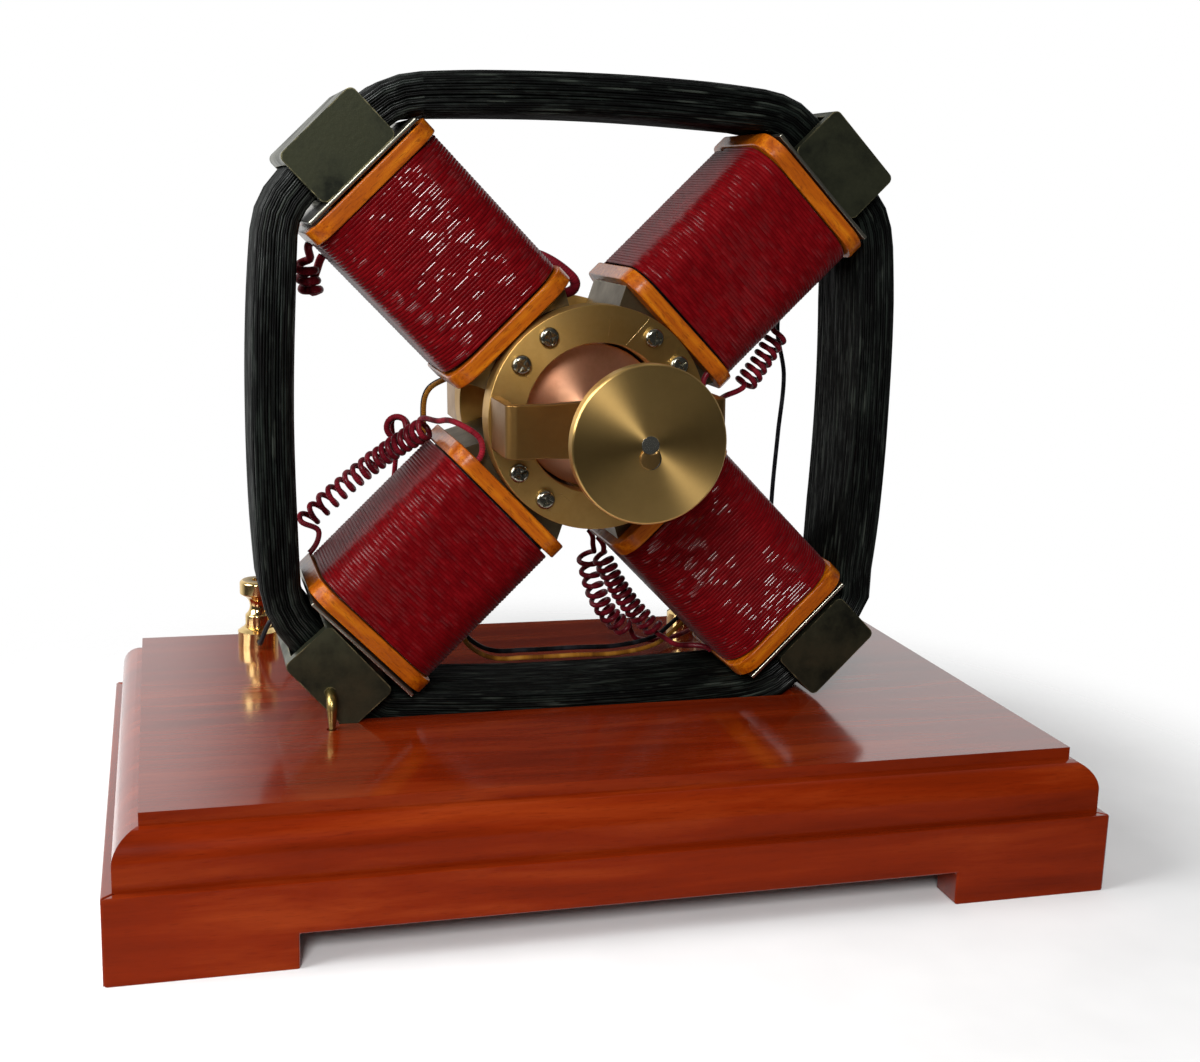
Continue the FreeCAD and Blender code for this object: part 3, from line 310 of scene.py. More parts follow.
def silkMaterial(name, look, varnish):
    material, tree, shader = startMaterial(name, {
        "Roughness": 0.62, "IOR": 1.5, "Specular IOR Level": 0.02,
        "Sheen Weight": 0.1, "Sheen Roughness": 0.3,
        "Coat Roughness": varnish["roughness"], "Coat IOR": varnish["ior"]})
    run = addNode(tree, "UVMap", {"uv_map": "run"})
    parts = addNode(tree, "SeparateXYZ", {0: run.outputs[0]})
    along = parts.outputs[0]
    turns = addNode(tree, "Math", {"operation": "MULTIPLY_ADD", 1: 1 / look["wrap"],
                                   0: along, 2: parts.outputs[1]})
    angle = addNode(tree, "Math", {"operation": "MULTIPLY", 1: 2 * math.pi, 0: turns.outputs[0]})
    thread = addNode(tree, "Math", {"operation": "SINE", 0: angle.outputs[0]})
    shade = wireCloud(tree, along, look["shade"], 4.0, 0.65)
    colour = colourRamp(tree, shade, (0.3, look["dark"]), (0.5, look["middle"]), (0.72, look["light"]))
    patch = cloudNode(tree, (look["patch"],) * 3, 3.0)
    both = addNode(tree, "Math", {"operation": "MULTIPLY_ADD", 1: look["patchShare"],
                                  0: patch.outputs[0], 2: wireCloud(tree, along, look["dash"], 2.0)})
    glint = stretch(tree, both.outputs[0], *varnish["glint"])
    lacquer = addNode(tree, "Mix", {3: look["slantCoat"], 0: slantMask(tree, *look["shine"]), 2: glint})
    feed(shader, "Coat Weight", lacquer.outputs[0])
    feed(shader, "Base Color", colour)
    feed(shader, "Normal", bumpNode(tree, thread.outputs[0], look["wrapDeep"]))
    return material


# Leads: copper wire wound with cotton
# Matt thread, darker crimson on the curls, brown or black on the plain leads
cottonLead = dict(silk, dark="#3f070e", middle="#6d1420", light="#8a1f2c", wrap=0.8, wrapDeep=0.04)
darkLead = dict(silk, dark="#0a0a0b", middle="#17171a", light="#2a2a2e", wrap=0.8, wrapDeep=0.04)
brownLead = dict(silk, dark="#6b3f12", middle="#9a6420", light="#b98235", wrap=0.8, wrapDeep=0.04)


# Yoke: soft iron wire, dipped in black varnish
# Near black with a green cast, and long grey streaks where the varnish shines along the wires
yokeWire = {
    "dark": "#010101",
    "middle": "#050806",
    "light": "#111813",
    "glintFleck": "#30352f",      # pale flecks along the wires, painted glints
    "streak": 30.0,
    "glintFleckLength": 26.0,
    "streakDeep": 0.05,
}


def yokeWireMaterial():
    look = yokeWire
    material, tree, shader = startMaterial("ironWireVarnished", {
        "IOR": 1.5, "Coat Roughness": 0.28, "Specular IOR Level": 0.1})
    run = addNode(tree, "UVMap", {"uv_map": "run"})
    along = addNode(tree, "SeparateXYZ", {0: run.outputs[0]}).outputs[0]
    streaks = wireCloud(tree, along, look["streak"], 5.0, 0.6)
    colour = colourRamp(tree, streaks, (0.4, look["dark"]), (0.52, look["middle"]), (0.68, look["light"]))
    # Pale flecks along the wires are painted glints in the base colour
    paintedGlint = stretch(tree, wireCloud(tree, along, look["glintFleckLength"], 3.0), 0.64, 0.78)
    feed(shader, "Base Color", mixColours(tree, paintedGlint, colour, look["glintFleck"]))
    feed(shader, "Coat Weight", stretch(tree, streaks, 0.48, 0.62, 0.05, 0.6))
    feed(shader, "Roughness", stretch(tree, streaks, 0.0, 1.0, 0.38, 0.7))
    feed(shader, "Normal", bumpNode(tree, streaks, look["streakDeep"]))
    return material


# Bare metals, each with its stains and its tool marks
# One recipe: clean colour, a tarnish that sits in patches, pale edges that are partly rubbed wear and partly
# a painted highlight, and a fine bump
def metalMaterial(name, look, turned=False):
    surface = {"Metallic": look.get("metallic", 1.0)}
    if turned:
        surface["Anisotropic"] = look["turning"]
        surface["Anisotropic Rotation"] = 0.25    # across the grooves
    material, tree, shader = startMaterial(name, surface)
    stains = cloudNode(tree, (look["patch"],) * 3, 6.0, 0.62).outputs[0]
    stainMask = stretch(tree, stains, *look["stain"])
    colour = mixColours(tree, stainMask, look["clean"], look["tarnish"])
    # Pale edge colour: partly rubbed wear, partly a painted highlight on the edges
    if "edgeWearAndHighlight" in look:
        rub = cloudNode(tree, (look["patch"] / 4,) * 3, 4.0).outputs[0]
        edge = edgeMask(tree, look["edgeWearAndHighlightWidth"], 0.8, 0.97)
        share = stretch(tree, rub, 0.42, 0.6)
        both = addNode(tree, "Math", {"operation": "MULTIPLY", 0: edge, 1: share})
        colour = mixColours(tree, both.outputs[0], colour, look["edgeWearAndHighlight"])
    feed(shader, "Base Color", colour)
    rough = stretch(tree, stainMask, 0.0, 1.0, *look["rough"])
    feed(shader, "Roughness", rough)
    fine = cloudNode(tree, look["marks"], 4.0).outputs[0]
    feed(shader, "Normal", bumpNode(tree, fine, look["markDeep"]))
    if turned:
        spot = addNode(tree, "NewGeometry")
        arm = addNode(tree, "VectorMath", {"operation": "SUBTRACT", 1: (0, 0, motor["axisHeight"] * mm),
                                           0: spot.outputs["Position"]})
        groove = addNode(tree, "VectorMath", {"operation": "CROSS_PRODUCT", 1: (0, 1, 0),
                                              0: arm.outputs[0]})
        feed(shader, "Tangent", groove.outputs[0])
    return material


# Black-oxide steel, filed: dark olive, stained, yellowish on the edges, partly rubbed wear and partly a
# painted highlight
blockSteel = {"clean": "#50523f", "tarnish": "#22241c", "patch": 15.0, "stain": (0.42, 0.66, 0.0, 1.0),
              "edgeWearAndHighlight": "#a39a72", "edgeWearAndHighlightWidth": 0.9, "rough": (0.34, 0.52), "marks": (1.6, 1.6, 1.6),
              "markDeep": 0.03, "metallic": 0.85}
# Rolled steel sheet, bright with a light grain
plateSteel = {"clean": "#a5a294", "tarnish": "#5a564a", "patch": 12.0, "stain": (0.5, 0.75, 0.0, 0.8),
              "rough": (0.3, 0.5), "marks": (0.6, 0.6, 8.0), "markDeep": 0.01}
# Forged soft iron: dull brown, a little paler on the edges, partly rubbed wear and partly a painted highlight
poleIron = {"clean": "#6a5e48", "tarnish": "#4b412f", "patch": 12.0, "stain": (0.4, 0.7, 0.0, 0.8),
            "edgeWearAndHighlight": "#9a947a", "edgeWearAndHighlightWidth": 0.6, "rough": (0.4, 0.5), "marks": (1.5, 1.5, 1.5),
            "markDeep": 0.01}
# Cast brass rings, faced in the lathe: olive gold, lighter towards the lamp, pale edges partly worn and
# partly a painted highlight
ringBrass = {"clean": "#cba461", "tarnish": "#ad8748", "patch": 16.0, "stain": (0.42, 0.7, 0.0, 0.8),
             "edgeWearAndHighlight": "#e3c98c", "edgeWearAndHighlightWidth": 0.4, "rough": (0.4, 0.48), "turning": 0.55,
             "marks": (0.4, 8.0, 0.4), "markDeep": 0.004}
# Brass strip, bent and filed flat: dull olive, pale edges partly worn and partly a painted highlight
bridgeBrass = {"clean": "#94703f", "tarnish": "#78592f", "patch": 14.0, "stain": (0.42, 0.7, 0.0, 0.8),
               "edgeWearAndHighlight": "#d8bd7a", "edgeWearAndHighlightWidth": 0.4, "rough": (0.36, 0.46), "marks": (6.0, 6.0, 0.3),
               "markDeep": 0.004}
# Lathe-turned brass, polished: bright mirror bands round each post
postBrass = {"clean": "#e4c486", "tarnish": "#b08c50", "patch": 5.0, "stain": (0.55, 0.8, 0.0, 0.7),
             "rough": (0.14, 0.34), "marks": (5.0, 5.0, 0.2), "markDeep": 0.006}
# Brass rod, bent by hand and left dull, with brown stains
hookBrass = {"clean": "#a8935a", "tarnish": "#6a5a34", "patch": 4.0, "stain": (0.4, 0.7, 0.0, 0.8),
             "rough": (0.26, 0.48), "marks": (0.4, 0.4, 0.4), "markDeep": 0.01}
# Bearing bronze, reamed: a duller orange than the brass round it
bushBronze = {"clean": "#9c7444", "tarnish": "#5d4426", "patch": 5.0, "stain": (0.45, 0.7, 0.0, 0.8),
              "rough": (0.3, 0.46), "marks": (0.2, 6.0, 0.2), "markDeep": 0.008}
# Faced brass disc: turning grooves spread the light into fans
discBrass = {"clean": "#d6b06c", "tarnish": "#b99255", "patch": 18.0, "stain": (0.45, 0.75, 0.0, 0.6),
             "rough": (0.34, 0.38), "turning": 0.85, "marks": (0.3, 6.0, 0.3), "markDeep": 0.002}
# The key pin, filed off just proud of the disc: one flat dull spot
keyBrass = {"clean": "#a98652", "tarnish": "#8a6a3a", "patch": 4.0, "stain": (0.45, 0.75, 0.0, 0.6),
            "rough": (0.34, 0.44), "marks": (0.6, 6.0, 0.6), "markDeep": 0.004}
# Copper shell, turned: pink brown with a soft fan of light
copperShell = {"clean": "#ffc09a", "tarnish": "#cf8660", "patch": 12.0, "stain": (0.45, 0.75, 0.0, 0.7),
               "rough": (0.34, 0.4), "turning": 0.8, "marks": (0.3, 6.0, 0.3), "markDeep": 0.003}
# Machine screws, steel gone grey: soft highlights on the domes
screwSteel = {"clean": "#9c998b", "tarnish": "#77735f", "patch": 3.0, "stain": (0.45, 0.7, 0.0, 0.9),
              "rough": (0.2, 0.32), "marks": (1.2, 1.2, 1.2), "markDeep": 0.006}
# Ground silver steel: the end catches a soft pale light
shaftSteel = {"clean": "#c4c2b6", "tarnish": "#9c9a8c", "patch": 6.0, "stain": (0.5, 0.8, 0.0, 0.6),
              "rough": (0.22, 0.3), "marks": (3.0, 3.0, 3.0), "markDeep": 0.002}

materials = {
    "mahoganyLong": mahoganyMaterial("mahoganyPolishedLong", False),
    "mahoganyAcross": mahoganyMaterial("mahoganyPolishedAcross", True),
    "glueWood": sawnWoodMaterial(),
    "silk": silkMaterial("copperWireSilkWrapped", silk, thickVarnish),
    "silkDry": silkMaterial("copperWireSilkThinVarnish", silk, thinVarnish),
    "cotton": silkMaterial("leadWireCottonCrimson", cottonLead, thinVarnish),
    "darkCotton": silkMaterial("leadWireCottonBlack", darkLead, thinVarnish),
    "brownCotton": silkMaterial("leadWireCottonBrown", brownLead, thinVarnish),
    "yokeWire": yokeWireMaterial(),
    "blockSteel": metalMaterial("steelFiledBlackened", blockSteel),
    "plateSteel": metalMaterial("steelRolledBright", plateSteel),
    "poleIron": metalMaterial("softIronForged", poleIron),
    "ringBrass": metalMaterial("brassRingFaced", ringBrass, True),
    "bridgeBrass": metalMaterial("brassStripFiled", bridgeBrass),
    "postBrass": metalMaterial("brassTurnedPolished", postBrass),
    "hookBrass": metalMaterial("brassRodBent", hookBrass),
    "bushBronze": metalMaterial("bronzeReamed", bushBronze),
    "discBrass": metalMaterial("brassFacedTurned", discBrass, True),
    "keyBrass": metalMaterial("brassPinFiled", keyBrass),
    "copper": metalMaterial("copperFacedTurned", copperShell, True),
    "screwSteel": metalMaterial("steelScrewGreyed", screwSteel),
    "shaftSteel": metalMaterial("steelGround", shaftSteel),
}
for corner in motor["corners"]:
    materials["flange_" + corner] = flangeMaterial(corner)
print("materials made")


# Rigid pieces that stay as the solids have them
# Each gets its finish and a small softened edge, its width in mm
softening = {"weld": 0.002, "angle": 35, "wide": 1.0, "segments": 2, "wideSegments": 4}


def dress(name, material, edge):
    look = softening
    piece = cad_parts[name]
    for place in piece.material_slots:
        place.material = material
    weld = piece.modifiers.new("joinFaces", "WELD")
    weld.merge_threshold = look["weld"] * mm
    if edge:
        soft = piece.modifiers.new("softEdge", "BEVEL")
        soft.width = edge * mm
        soft.segments = look["wideSegments" if edge > look["wide"] else "segments"]
        soft.limit_method = "ANGLE"
        soft.angle_limit = math.radians(look["angle"])
    shade = piece.modifiers.new("evenShade", "WEIGHTED_NORMAL")
    shade.keep_sharp = False
    for face in piece.data.polygons:
        face.use_smooth = True


finishes = {
    "top_board": ("mahoganyLong", 0.5),
    "front_board": ("mahoganyLong", 0.6), "rear_board": ("mahoganyLong", 0.6),
    "left_board": ("mahoganyAcross", 0.6), "right_board": ("mahoganyAcross", 0.6),
    "glue_blocks": ("glueWood", 0.5),
    "post_bases": ("postBrass", 0.25), "post_nuts": ("screwSteel", 0.3),
    "end_plates": ("plateSteel", 0.3),
    "front_ring": ("ringBrass", 0.25), "rear_ring": ("ringBrass", 0.25),
    "ring_screws": ("screwSteel", 0.12),
    "front_bridge": ("bridgeBrass", 0.3), "rear_bridge": ("bridgeBrass", 0.3),
    "bearing_bushes": ("bushBronze", 0.2),
    "copper_rotor": ("copper", 0.5), "rotor_core": ("poleIron", 0.3),
    "shaft": ("shaftSteel", 0.1), "drive_disc": ("discBrass", 0.12),
    "disc_key": ("keyBrass", 0.15),
    "winding_cores": ("darkCotton", 0.0), "yoke_core": ("blockSteel", 0.0),
}
for side in motor["postPlace"]:
    finishes["post_washer_" + side] = ("postBrass", 0.12)
    finishes["post_head_" + side] = ("postBrass", 0.25)
for corner in motor["corners"]:
    finishes["inner_flange_" + corner] = ("flange_" + corner, 0.45)
    finishes["outer_flange_" + corner] = ("flange_" + corner, 0.45)
    finishes["pole_" + corner] = ("poleIron", 0.5)
    finishes["corner_block_" + corner] = ("blockSteel", 2.1)
for name, (material, edge) in finishes.items():
    dress(name, materials[material], edge)
print("rigid pieces finished")


# Round wires
def unitRows(rows):
    return rows / np.linalg.norm(rows, axis=1, keepdims=True)


def wireFrames(points, closed, reference):
    ahead = np.roll(points, -1, axis=0) - points
    behind = points - np.roll(points, 1, axis=0)
    if not closed:
        ahead[-1] = behind[-1]
        behind[0] = ahead[0]
    ways = unitRows(unitRows(ahead) + unitRows(behind))
    if reference is None:
        sides = np.zeros_like(points)
        side = np.cross(ways[0], (0.31, 0.52, 0.79))    # any way that no wire starts along
        for index, way in enumerate(ways):
            side = side - way * side.dot(way)
            side = side / np.linalg.norm(side)
            sides[index] = side
    else:
        sides = unitRows(np.cross(ways, reference))
    return sides, np.cross(ways, sides)


# One mesh of round wires. Each run has its points in mm, its radius in mm (one number or one per point),
# a closed flag, a reference direction for its faces, how flat it is across that, and a shift of its pattern
def wireMesh(name, runs, sides, material):
    vertices = []
    faces = []
    patterns = []
    base = 0
    spin = np.arange(sides) / sides * 2 * math.pi
    for run in runs:
        points = np.asarray(run["points"], float)
        closed = run.get("closed", False)
        across, up = wireFrames(points, closed, run.get("reference"))
        radius = np.broadcast_to(np.asarray(run["radius"], float), (len(points),))[:, None, None]
        across = across * run.get("flat", 1.0)
        ring = across[:, None, :] * np.cos(spin)[None, :, None]
        ring = ring + up[:, None, :] * np.sin(spin)[None, :, None]
        vertices.append((points[:, None, :] + radius * ring).reshape(-1, 3) * mm)
        steps = np.linalg.norm(np.roll(points, -1, axis=0) - points, axis=1)
        travel = np.concatenate([[0], np.cumsum(steps)]) + run.get("shift", 0.0)
        count = len(points) if closed else len(points) - 1
        i = np.repeat(np.arange(count), sides)
        j = np.tile(np.arange(sides), count)
        nextI = (i + 1) % len(points)
        nextJ = (j + 1) % sides
        faces.append(base + np.stack([i * sides + j, i * sides + nextJ,
                                      nextI * sides + nextJ, nextI * sides + j], axis=1))
        here = travel[i]
        there = travel[i + 1]
        low = j / sides
        high = (j + 1) / sides
        patterns.append(np.stack([here, low, here, high, there, high, there, low], axis=1).reshape(-1, 2))
        base += len(points) * sides
    quads = np.concatenate(faces)
    mesh = bpy.data.meshes.new(name)
    mesh.from_pydata(np.concatenate(vertices).tolist(), [], quads.tolist())
    layer = mesh.uv_layers.new(name="run")
    layer.data.foreach_set("uv", np.concatenate(patterns).astype(np.float32).ravel())
    mesh.polygons.foreach_set("use_smooth", np.ones(len(mesh.polygons), bool))
    mesh.materials.append(material)
    mesh.update()
    piece = bpy.data.objects.new(name, mesh)
    bpy.context.scene.collection.objects.link(piece)
    return piece


def standIn(piece, body, slot, *names):
    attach(piece, body)
    if names:
        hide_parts(*names)
    return piece


# World place of points given as (reach, depth, side) in a coil's own frame
def atCorner(corner, rows):
    rows = np.atleast_2d(np.asarray(rows, float))
    turn = math.radians(motor["corners"][corner])
    reach, depth, side = rows[:, 0], rows[:, 1], rows[:, 2]
    x = reach * math.cos(turn) + side * math.sin(turn)
    z = motor["axisHeight"] + side * math.cos(turn) - reach * math.sin(turn)
    return np.stack([x, depth, z], axis=1)


def wayAt(corner, reach, depth, side):
    way = atCorner(corner, (reach, depth, side))[0] - (0, 0, motor["axisHeight"])
    return way / np.linalg.norm(way)


# Windings
winding = {
    "turns": 48,
    "wire": 1.32,            # along the coil; the turns press into each other
    "flat": 0.7,             # share of that across the turn
    "width": 46.4,
    "depth": 48.4,
    "corner": 11.0,
    "endGap": 0.02,
    "cornerSteps": 9,
    "sideSteps": 5,
    "wander": 0.07,
    "waver": 0.05,
    "waverWaves": (59, 131, 233, 347),
    "slack": 0.12,
    "slackWaves": (61, 117, 241, 389, 463),
    "halfWidth": 23.0,
    "glossy": ("upper_left", "lower_right"),   # coils whose varnish lies thick
    "patternShift": 97.0,
    "sides": 12,
    "seed": 11,
}


# Places round a rounded rectangle, as rows of two numbers
def roundedLoop(width, depth, corner, cornerSteps, sideSteps):
    flatWide = width / 2 - corner
    flatDeep = depth / 2 - corner
    rows = []
    for centre, begin in (((flatWide, flatDeep), 0), ((-flatWide, flatDeep), 90),
                          ((-flatWide, -flatDeep), 180), ((flatWide, -flatDeep), 270)):
        for step in range(cornerSteps + 1):
            angle = math.radians(begin + 90 * step / cornerSteps)
            rows.append((centre[0] + corner * math.cos(angle), centre[1] + corner * math.sin(angle)))
        following = math.radians(begin + 90)
        end = np.array(rows[-1])
        along = np.array((-math.sin(following), math.cos(following)))
        length = 2 * (flatWide if begin in (0, 180) else flatDeep)
        for step in range(1, sideSteps):
            rows.append(tuple(end + along * length * step / sideSteps))
    return np.array(rows)


def smoothNoise(count, waves, random):
    places = np.linspace(0, 2 * math.pi, count, endpoint=False)
    total = np.zeros(count)
    for wave in waves:
        total += np.sin(wave * places + random.uniform(0, 2 * math.pi)) * random.uniform(0.4, 1.0)
    return total / len(waves)


def makeWinding(corner, number):
    look = winding
    random = np.random.default_rng(look["seed"] + number)
    thick = look["wire"] * look["flat"]
    loop = roundedLoop(look["width"] - thick, look["depth"] - thick,
                       look["corner"] - thick / 2, look["cornerSteps"], look["sideSteps"])
    perLoop = len(loop)
    count = look["turns"] * perLoop
    steps = np.linalg.norm(np.roll(loop, -1, axis=0) - loop, axis=1)
    share = np.concatenate([[0], np.cumsum(steps)[:-1]]) / steps.sum()
    turn = np.repeat(np.arange(look["turns"]), perLoop) + np.tile(share, look["turns"])
    margin = look["endGap"] + look["wire"] / 2
    room = motor["windingOuter"] - motor["windingInner"] - 2 * margin
    reach = motor["windingInner"] + margin + room * turn / look["turns"]
    sag = np.interp(turn, np.arange(look["turns"] + 1), random.normal(0, 1, look["turns"] + 1))
    reach = reach + look["wander"] * np.clip(sag, -1, 1)
    reach = reach + look["waver"] * smoothNoise(count, look["waverWaves"], random)
    reach = np.clip(reach, motor["windingInner"] + margin, motor["windingOuter"] - margin)
    around = np.tile(loop, (look["turns"], 1))
    inward = look["slack"] * np.abs(smoothNoise(count, look["slackWaves"], random))[:, None]
    around = around * (1 - inward / look["halfWidth"])
    rows = np.stack([reach, around[:, 1], around[:, 0]], axis=1)
    points = atCorner(corner, rows)
    axis = wayAt(corner, 1, 0, 0)
    run = {"points": points, "radius": look["wire"] / 2, "flat": look["flat"], "reference": axis,
           "shift": look["patternShift"] * number}
    finish = materials["silk" if corner in look["glossy"] else "silkDry"]
    piece = wireMesh("silkWinding_" + corner, [run], look["sides"], finish)
    standIn(piece, "stand", "silk", "winding_" + corner)


for number, corner in enumerate(motor["corners"]):
    makeWinding(corner, number)
print("windings wound")


# Yoke bundle
yoke = {
    "thickness": 12.8,
    "depth": 37.8,
    "corner": 4.0,
    "wire": 0.86,
    "outerWires": 122,
    "innerWires": 104,
    "innerInset": 0.7,
    "reach": {"top": 92.6, "right": 92.4, "bottom": 92.6, "left": 93.5},
    "shoulder": 52.0,
    "shoulderAngle": 4.0,
    "blockReach": 108.0,
    "exitSide": 14.8,
    "slips": {"lower_left": (1.4, 1.2, 3.0), "lower_right": (2.1, 3.4, 0.0)},   # out, sideways, degrees
    "blockMiddle": 108.8,
    "pinch": 0.05,
    "pinchFrom": 100.0,
    "pinchOver": 8.0,
    "wander": 0.30,
    "wanderWaves": (2, 3, 4, 7, 11),
    "slack": 0.05,
    "slackWaves": (1, 2, 3, 5, 8),
    "sideSlack": 0.3,
    "sideFrom": 0.6,         # share of the corner that counts as a side
    "leastCorner": 0.5,
    "cornerSteps": 12,
    "sideSteps": 60,
    "thinnest": 0.8,         # share of the wire
    "mostShift": 900,
    "outerJitter": 0.22,
    "innerJitter": 0.3,
    "step": 6.0,
    "sides": 6,
    "seed": 5,
}


# Points on a smooth line through places that each have a direction; arcs stay arcs
def smoothRun(stations, step, closed=False):
    stations = [(np.asarray(place, float), np.asarray(way, float)) for place, way in stations]
    pairs = list(zip(stations, stations[1:]))
    if closed:
        pairs.append((stations[-1], stations[0]))
    points = []
    ways = []
    for (start, startWay), (end, endWay) in pairs:
        length = np.linalg.norm(end - start)
        turn = math.acos(max(-1.0, min(1.0, float(startWay.dot(endWay)))))
        handle = length / (3 * math.cos(turn / 4) ** 2)
        count = max(2, int(math.ceil(max(length / step, turn / math.radians(15)))))
        a, b, c, d = start, start + startWay * handle, end - endWay * handle, end
        for index in range(count):
            t = index / count
            s = 1 - t
            points.append(s ** 3 * a + 3 * s * s * t * b + 3 * s * t * t * c + t ** 3 * d)
            way = s * s * (b - a) + 2 * s * t * (c - b) + t * t * (d - c)
            ways.append(way / np.linalg.norm(way))
    if not closed:
        points.append(stations[-1][0])
        ways.append(stations[-1][1])
    return np.array(points), np.array(ways)


def blockPair(corner):
    look = yoke
    pair = []
    for side in (look["exitSide"], -look["exitSide"]):
        reach, across = look["blockReach"], side
        way = (0.0, -1.0)
        if corner in look["slips"]:
            slipOut, slipSide, angle = look["slips"][corner]
            turn = math.radians(angle)
            out = reach - look["blockMiddle"]
            reach = look["blockMiddle"] + slipOut + out * math.cos(turn) + side * math.sin(turn)
            across = slipSide - out * math.sin(turn) + side * math.cos(turn)
            way = (-math.sin(turn), -math.cos(turn))
        pair.append((atCorner(corner, (reach, 0, across))[0], wayAt(corner, way[0], 0, way[1])))
    return pair


def yokeStations():
    look = yoke
    tilt = math.radians(look["shoulderAngle"])
    along, across = math.cos(tilt), math.sin(tilt)
    reach = look["reach"]
    wide = look["shoulder"]

    def shoulder(x, z, wayX, wayZ):
        return (x, 0, z + motor["axisHeight"]), (wayX, 0, wayZ)

    stations = [shoulder(-wide, reach["top"], along, across),
                shoulder(wide, reach["top"], along, -across)]
    stations += blockPair("upper_right")
    stations += [shoulder(reach["right"], wide, across, -along),
                 shoulder(reach["right"], -wide, -across, -along)]
    stations += blockPair("lower_right")
    stations += [shoulder(wide, -reach["bottom"], -along, -across),
                 shoulder(-wide, -reach["bottom"], -along, across)]
    stations += blockPair("lower_left")
    stations += [shoulder(-reach["left"], -wide, -across, along),
                 shoulder(-reach["left"], wide, across, along)]
    stations += blockPair("upper_left")
    return stations


# Even places round the bundle's section, as (outward, along Y)
def sectionPlaces(inset, count, random, jitter):
    look = yoke
    thickness = look["thickness"] - look["wire"] - 2 * inset
    depth = look["depth"] - look["wire"] - 2 * inset
    corner = look["corner"] - look["wire"] / 2 - inset
    loop = roundedLoop(thickness, depth, max(corner, look["leastCorner"]),
                       look["cornerSteps"], look["sideSteps"])
    ring = np.vstack([loop, loop[:1]])
    travel = np.concatenate([[0], np.cumsum(np.linalg.norm(np.diff(ring, axis=0), axis=1))])
    shares = (np.arange(count) + random.uniform(-jitter, jitter, count)) / count * travel[-1]
    shares = np.mod(shares, travel[-1])
    return np.stack([np.interp(shares, travel, ring[:, 0]), np.interp(shares, travel, ring[:, 1])], axis=1)


def makeYoke():
    look = yoke
    random = np.random.default_rng(look["seed"])
    middle, ways = smoothRun(yokeStations(), look["step"], closed=True)
    outward = np.stack([-ways[:, 2], np.zeros(len(ways)), ways[:, 0]], axis=1)
    toAxis = middle - (0, 0, motor["axisHeight"])
    reachNow = np.linalg.norm(toAxis, axis=1)
    squeeze = 1 - look["pinch"] * np.clip((reachNow - look["pinchFrom"]) / look["pinchOver"], 0, 1)
    runs = []
    for inset, count, jitter in ((0.0, look["outerWires"], look["outerJitter"]),
                                 (look["innerInset"], look["innerWires"], look["innerJitter"])):
        for out, along in sectionPlaces(inset, count, random, jitter):
            slack = 1 - look["slack"] * np.abs(smoothNoise(len(middle), look["slackWaves"], random))
            drift = look["wander"] * smoothNoise(len(middle), look["wanderWaves"], random)
            onSide = abs(out) > look["thickness"] / 2 - look["corner"] * look["sideFrom"]
            outNow = out * slack * squeeze + (0 if onSide else drift)
            alongNow = along * (1 - look["sideSlack"] * (1 - slack)) * squeeze + (drift if onSide else 0)
            limit = (look["depth"] - look["wire"]) / 2
            alongNow = np.clip(alongNow, -limit, limit)
            points = middle + outward * outNow[:, None]
            points[:, 1] += alongNow
            runs.append({"points": points, "radius": look["wire"] / 2 * random.uniform(look["thinnest"], 1.0),
                         "closed": True, "reference": (0.0, 1.0, 0.0),
                         "shift": float(random.uniform(0, look["mostShift"]))})
    piece = wireMesh("yokeBundle", runs, look["sides"], materials["yokeWire"])
    standIn(piece, "stand", "yoke_wire", "yoke_wires")


makeYoke()
print("yoke bundled")


# Curly leads
lead = {
    "wire": 1.6,
    "curlWire": 1.8,
    "curl": 3.0,             # radius of the curls
    "smallCurl": 2.8,
    "looseCurl": 3.5,
    "lift": 23.6,
    "step": 1.0,
    "sides": 10,
    "seed": 3,
    "limbTop": 47.9,
    "spareSeed": 8,
    "spareCurl": 2.7,
    "spareOuterWire": 2.6,
    "spareInnerWire": 3.2,
    "spareSides": 12,
}


def steeredPlace(points, share):
    work = [np.asarray(point, float) for point in points]
    while len(work) > 1:
        work = [a * (1 - share) + b * share for a, b in zip(work, work[1:])]
    return work[0]


def curls(axis, radius, count, startTurn, random, looseness=0.0):
    whole = np.asarray(axis[-1], float) - np.asarray(axis[0], float)
    upright = np.array((0.0, 0, 1) if abs(whole[1]) / np.linalg.norm(whole) > 0.7 else (0.0, 1, 0))
    sizes = 1 + looseness * random.uniform(-1, 0.3, count + 2)

    def place(turn):
        share = turn / (2 * math.pi * count)
        middle = steeredPlace(axis, share)
        way = steeredPlace(axis, share + 0.001) - steeredPlace(axis, share - 0.001)
        way = way / np.linalg.norm(way)
        side = np.cross(way, upright)
        side = side / np.linalg.norm(side)
        lift = np.cross(side, way)
        angle = turn + math.radians(startTurn)
        size = radius * np.interp(max(turn / (2 * math.pi), 0), np.arange(count + 2), sizes)
        return middle + side * (size * math.cos(angle)) + lift * (size * math.sin(angle))

    stations = []
    for quarter in range(4 * count + 1):
        turn = quarter * math.pi / 2
        way = place(turn + 0.01) - place(turn - 0.01)
        stations.append((place(turn), way / np.linalg.norm(way)))
    return stations


def makeLead(name, stations, material, slot, *names):
    points = smoothRun(stations, lead["step"])[0]
    width = lead["curlWire"] if material == materials["cotton"] else lead["wire"]
    piece = wireMesh(name, [{"points": points, "radius": width / 2}], lead["sides"], material)
    return standIn(piece, "stand", slot, *names)


def cornerPlace(corner, *row):
    return atCorner(corner, row)[0]


def unitWay(*way):
    way = np.array(way, float)
    return way / np.linalg.norm(way)


def cornerPlaces(corner, *rows):
    return [cornerPlace(corner, *row) for row in rows]


# Stations in a coil's own frame, each row a place and a way
def cornerStations(corner, *rows):
    return [(cornerPlace(corner, *row[:3]), wayAt(corner, *row[3:])) for row in rows]


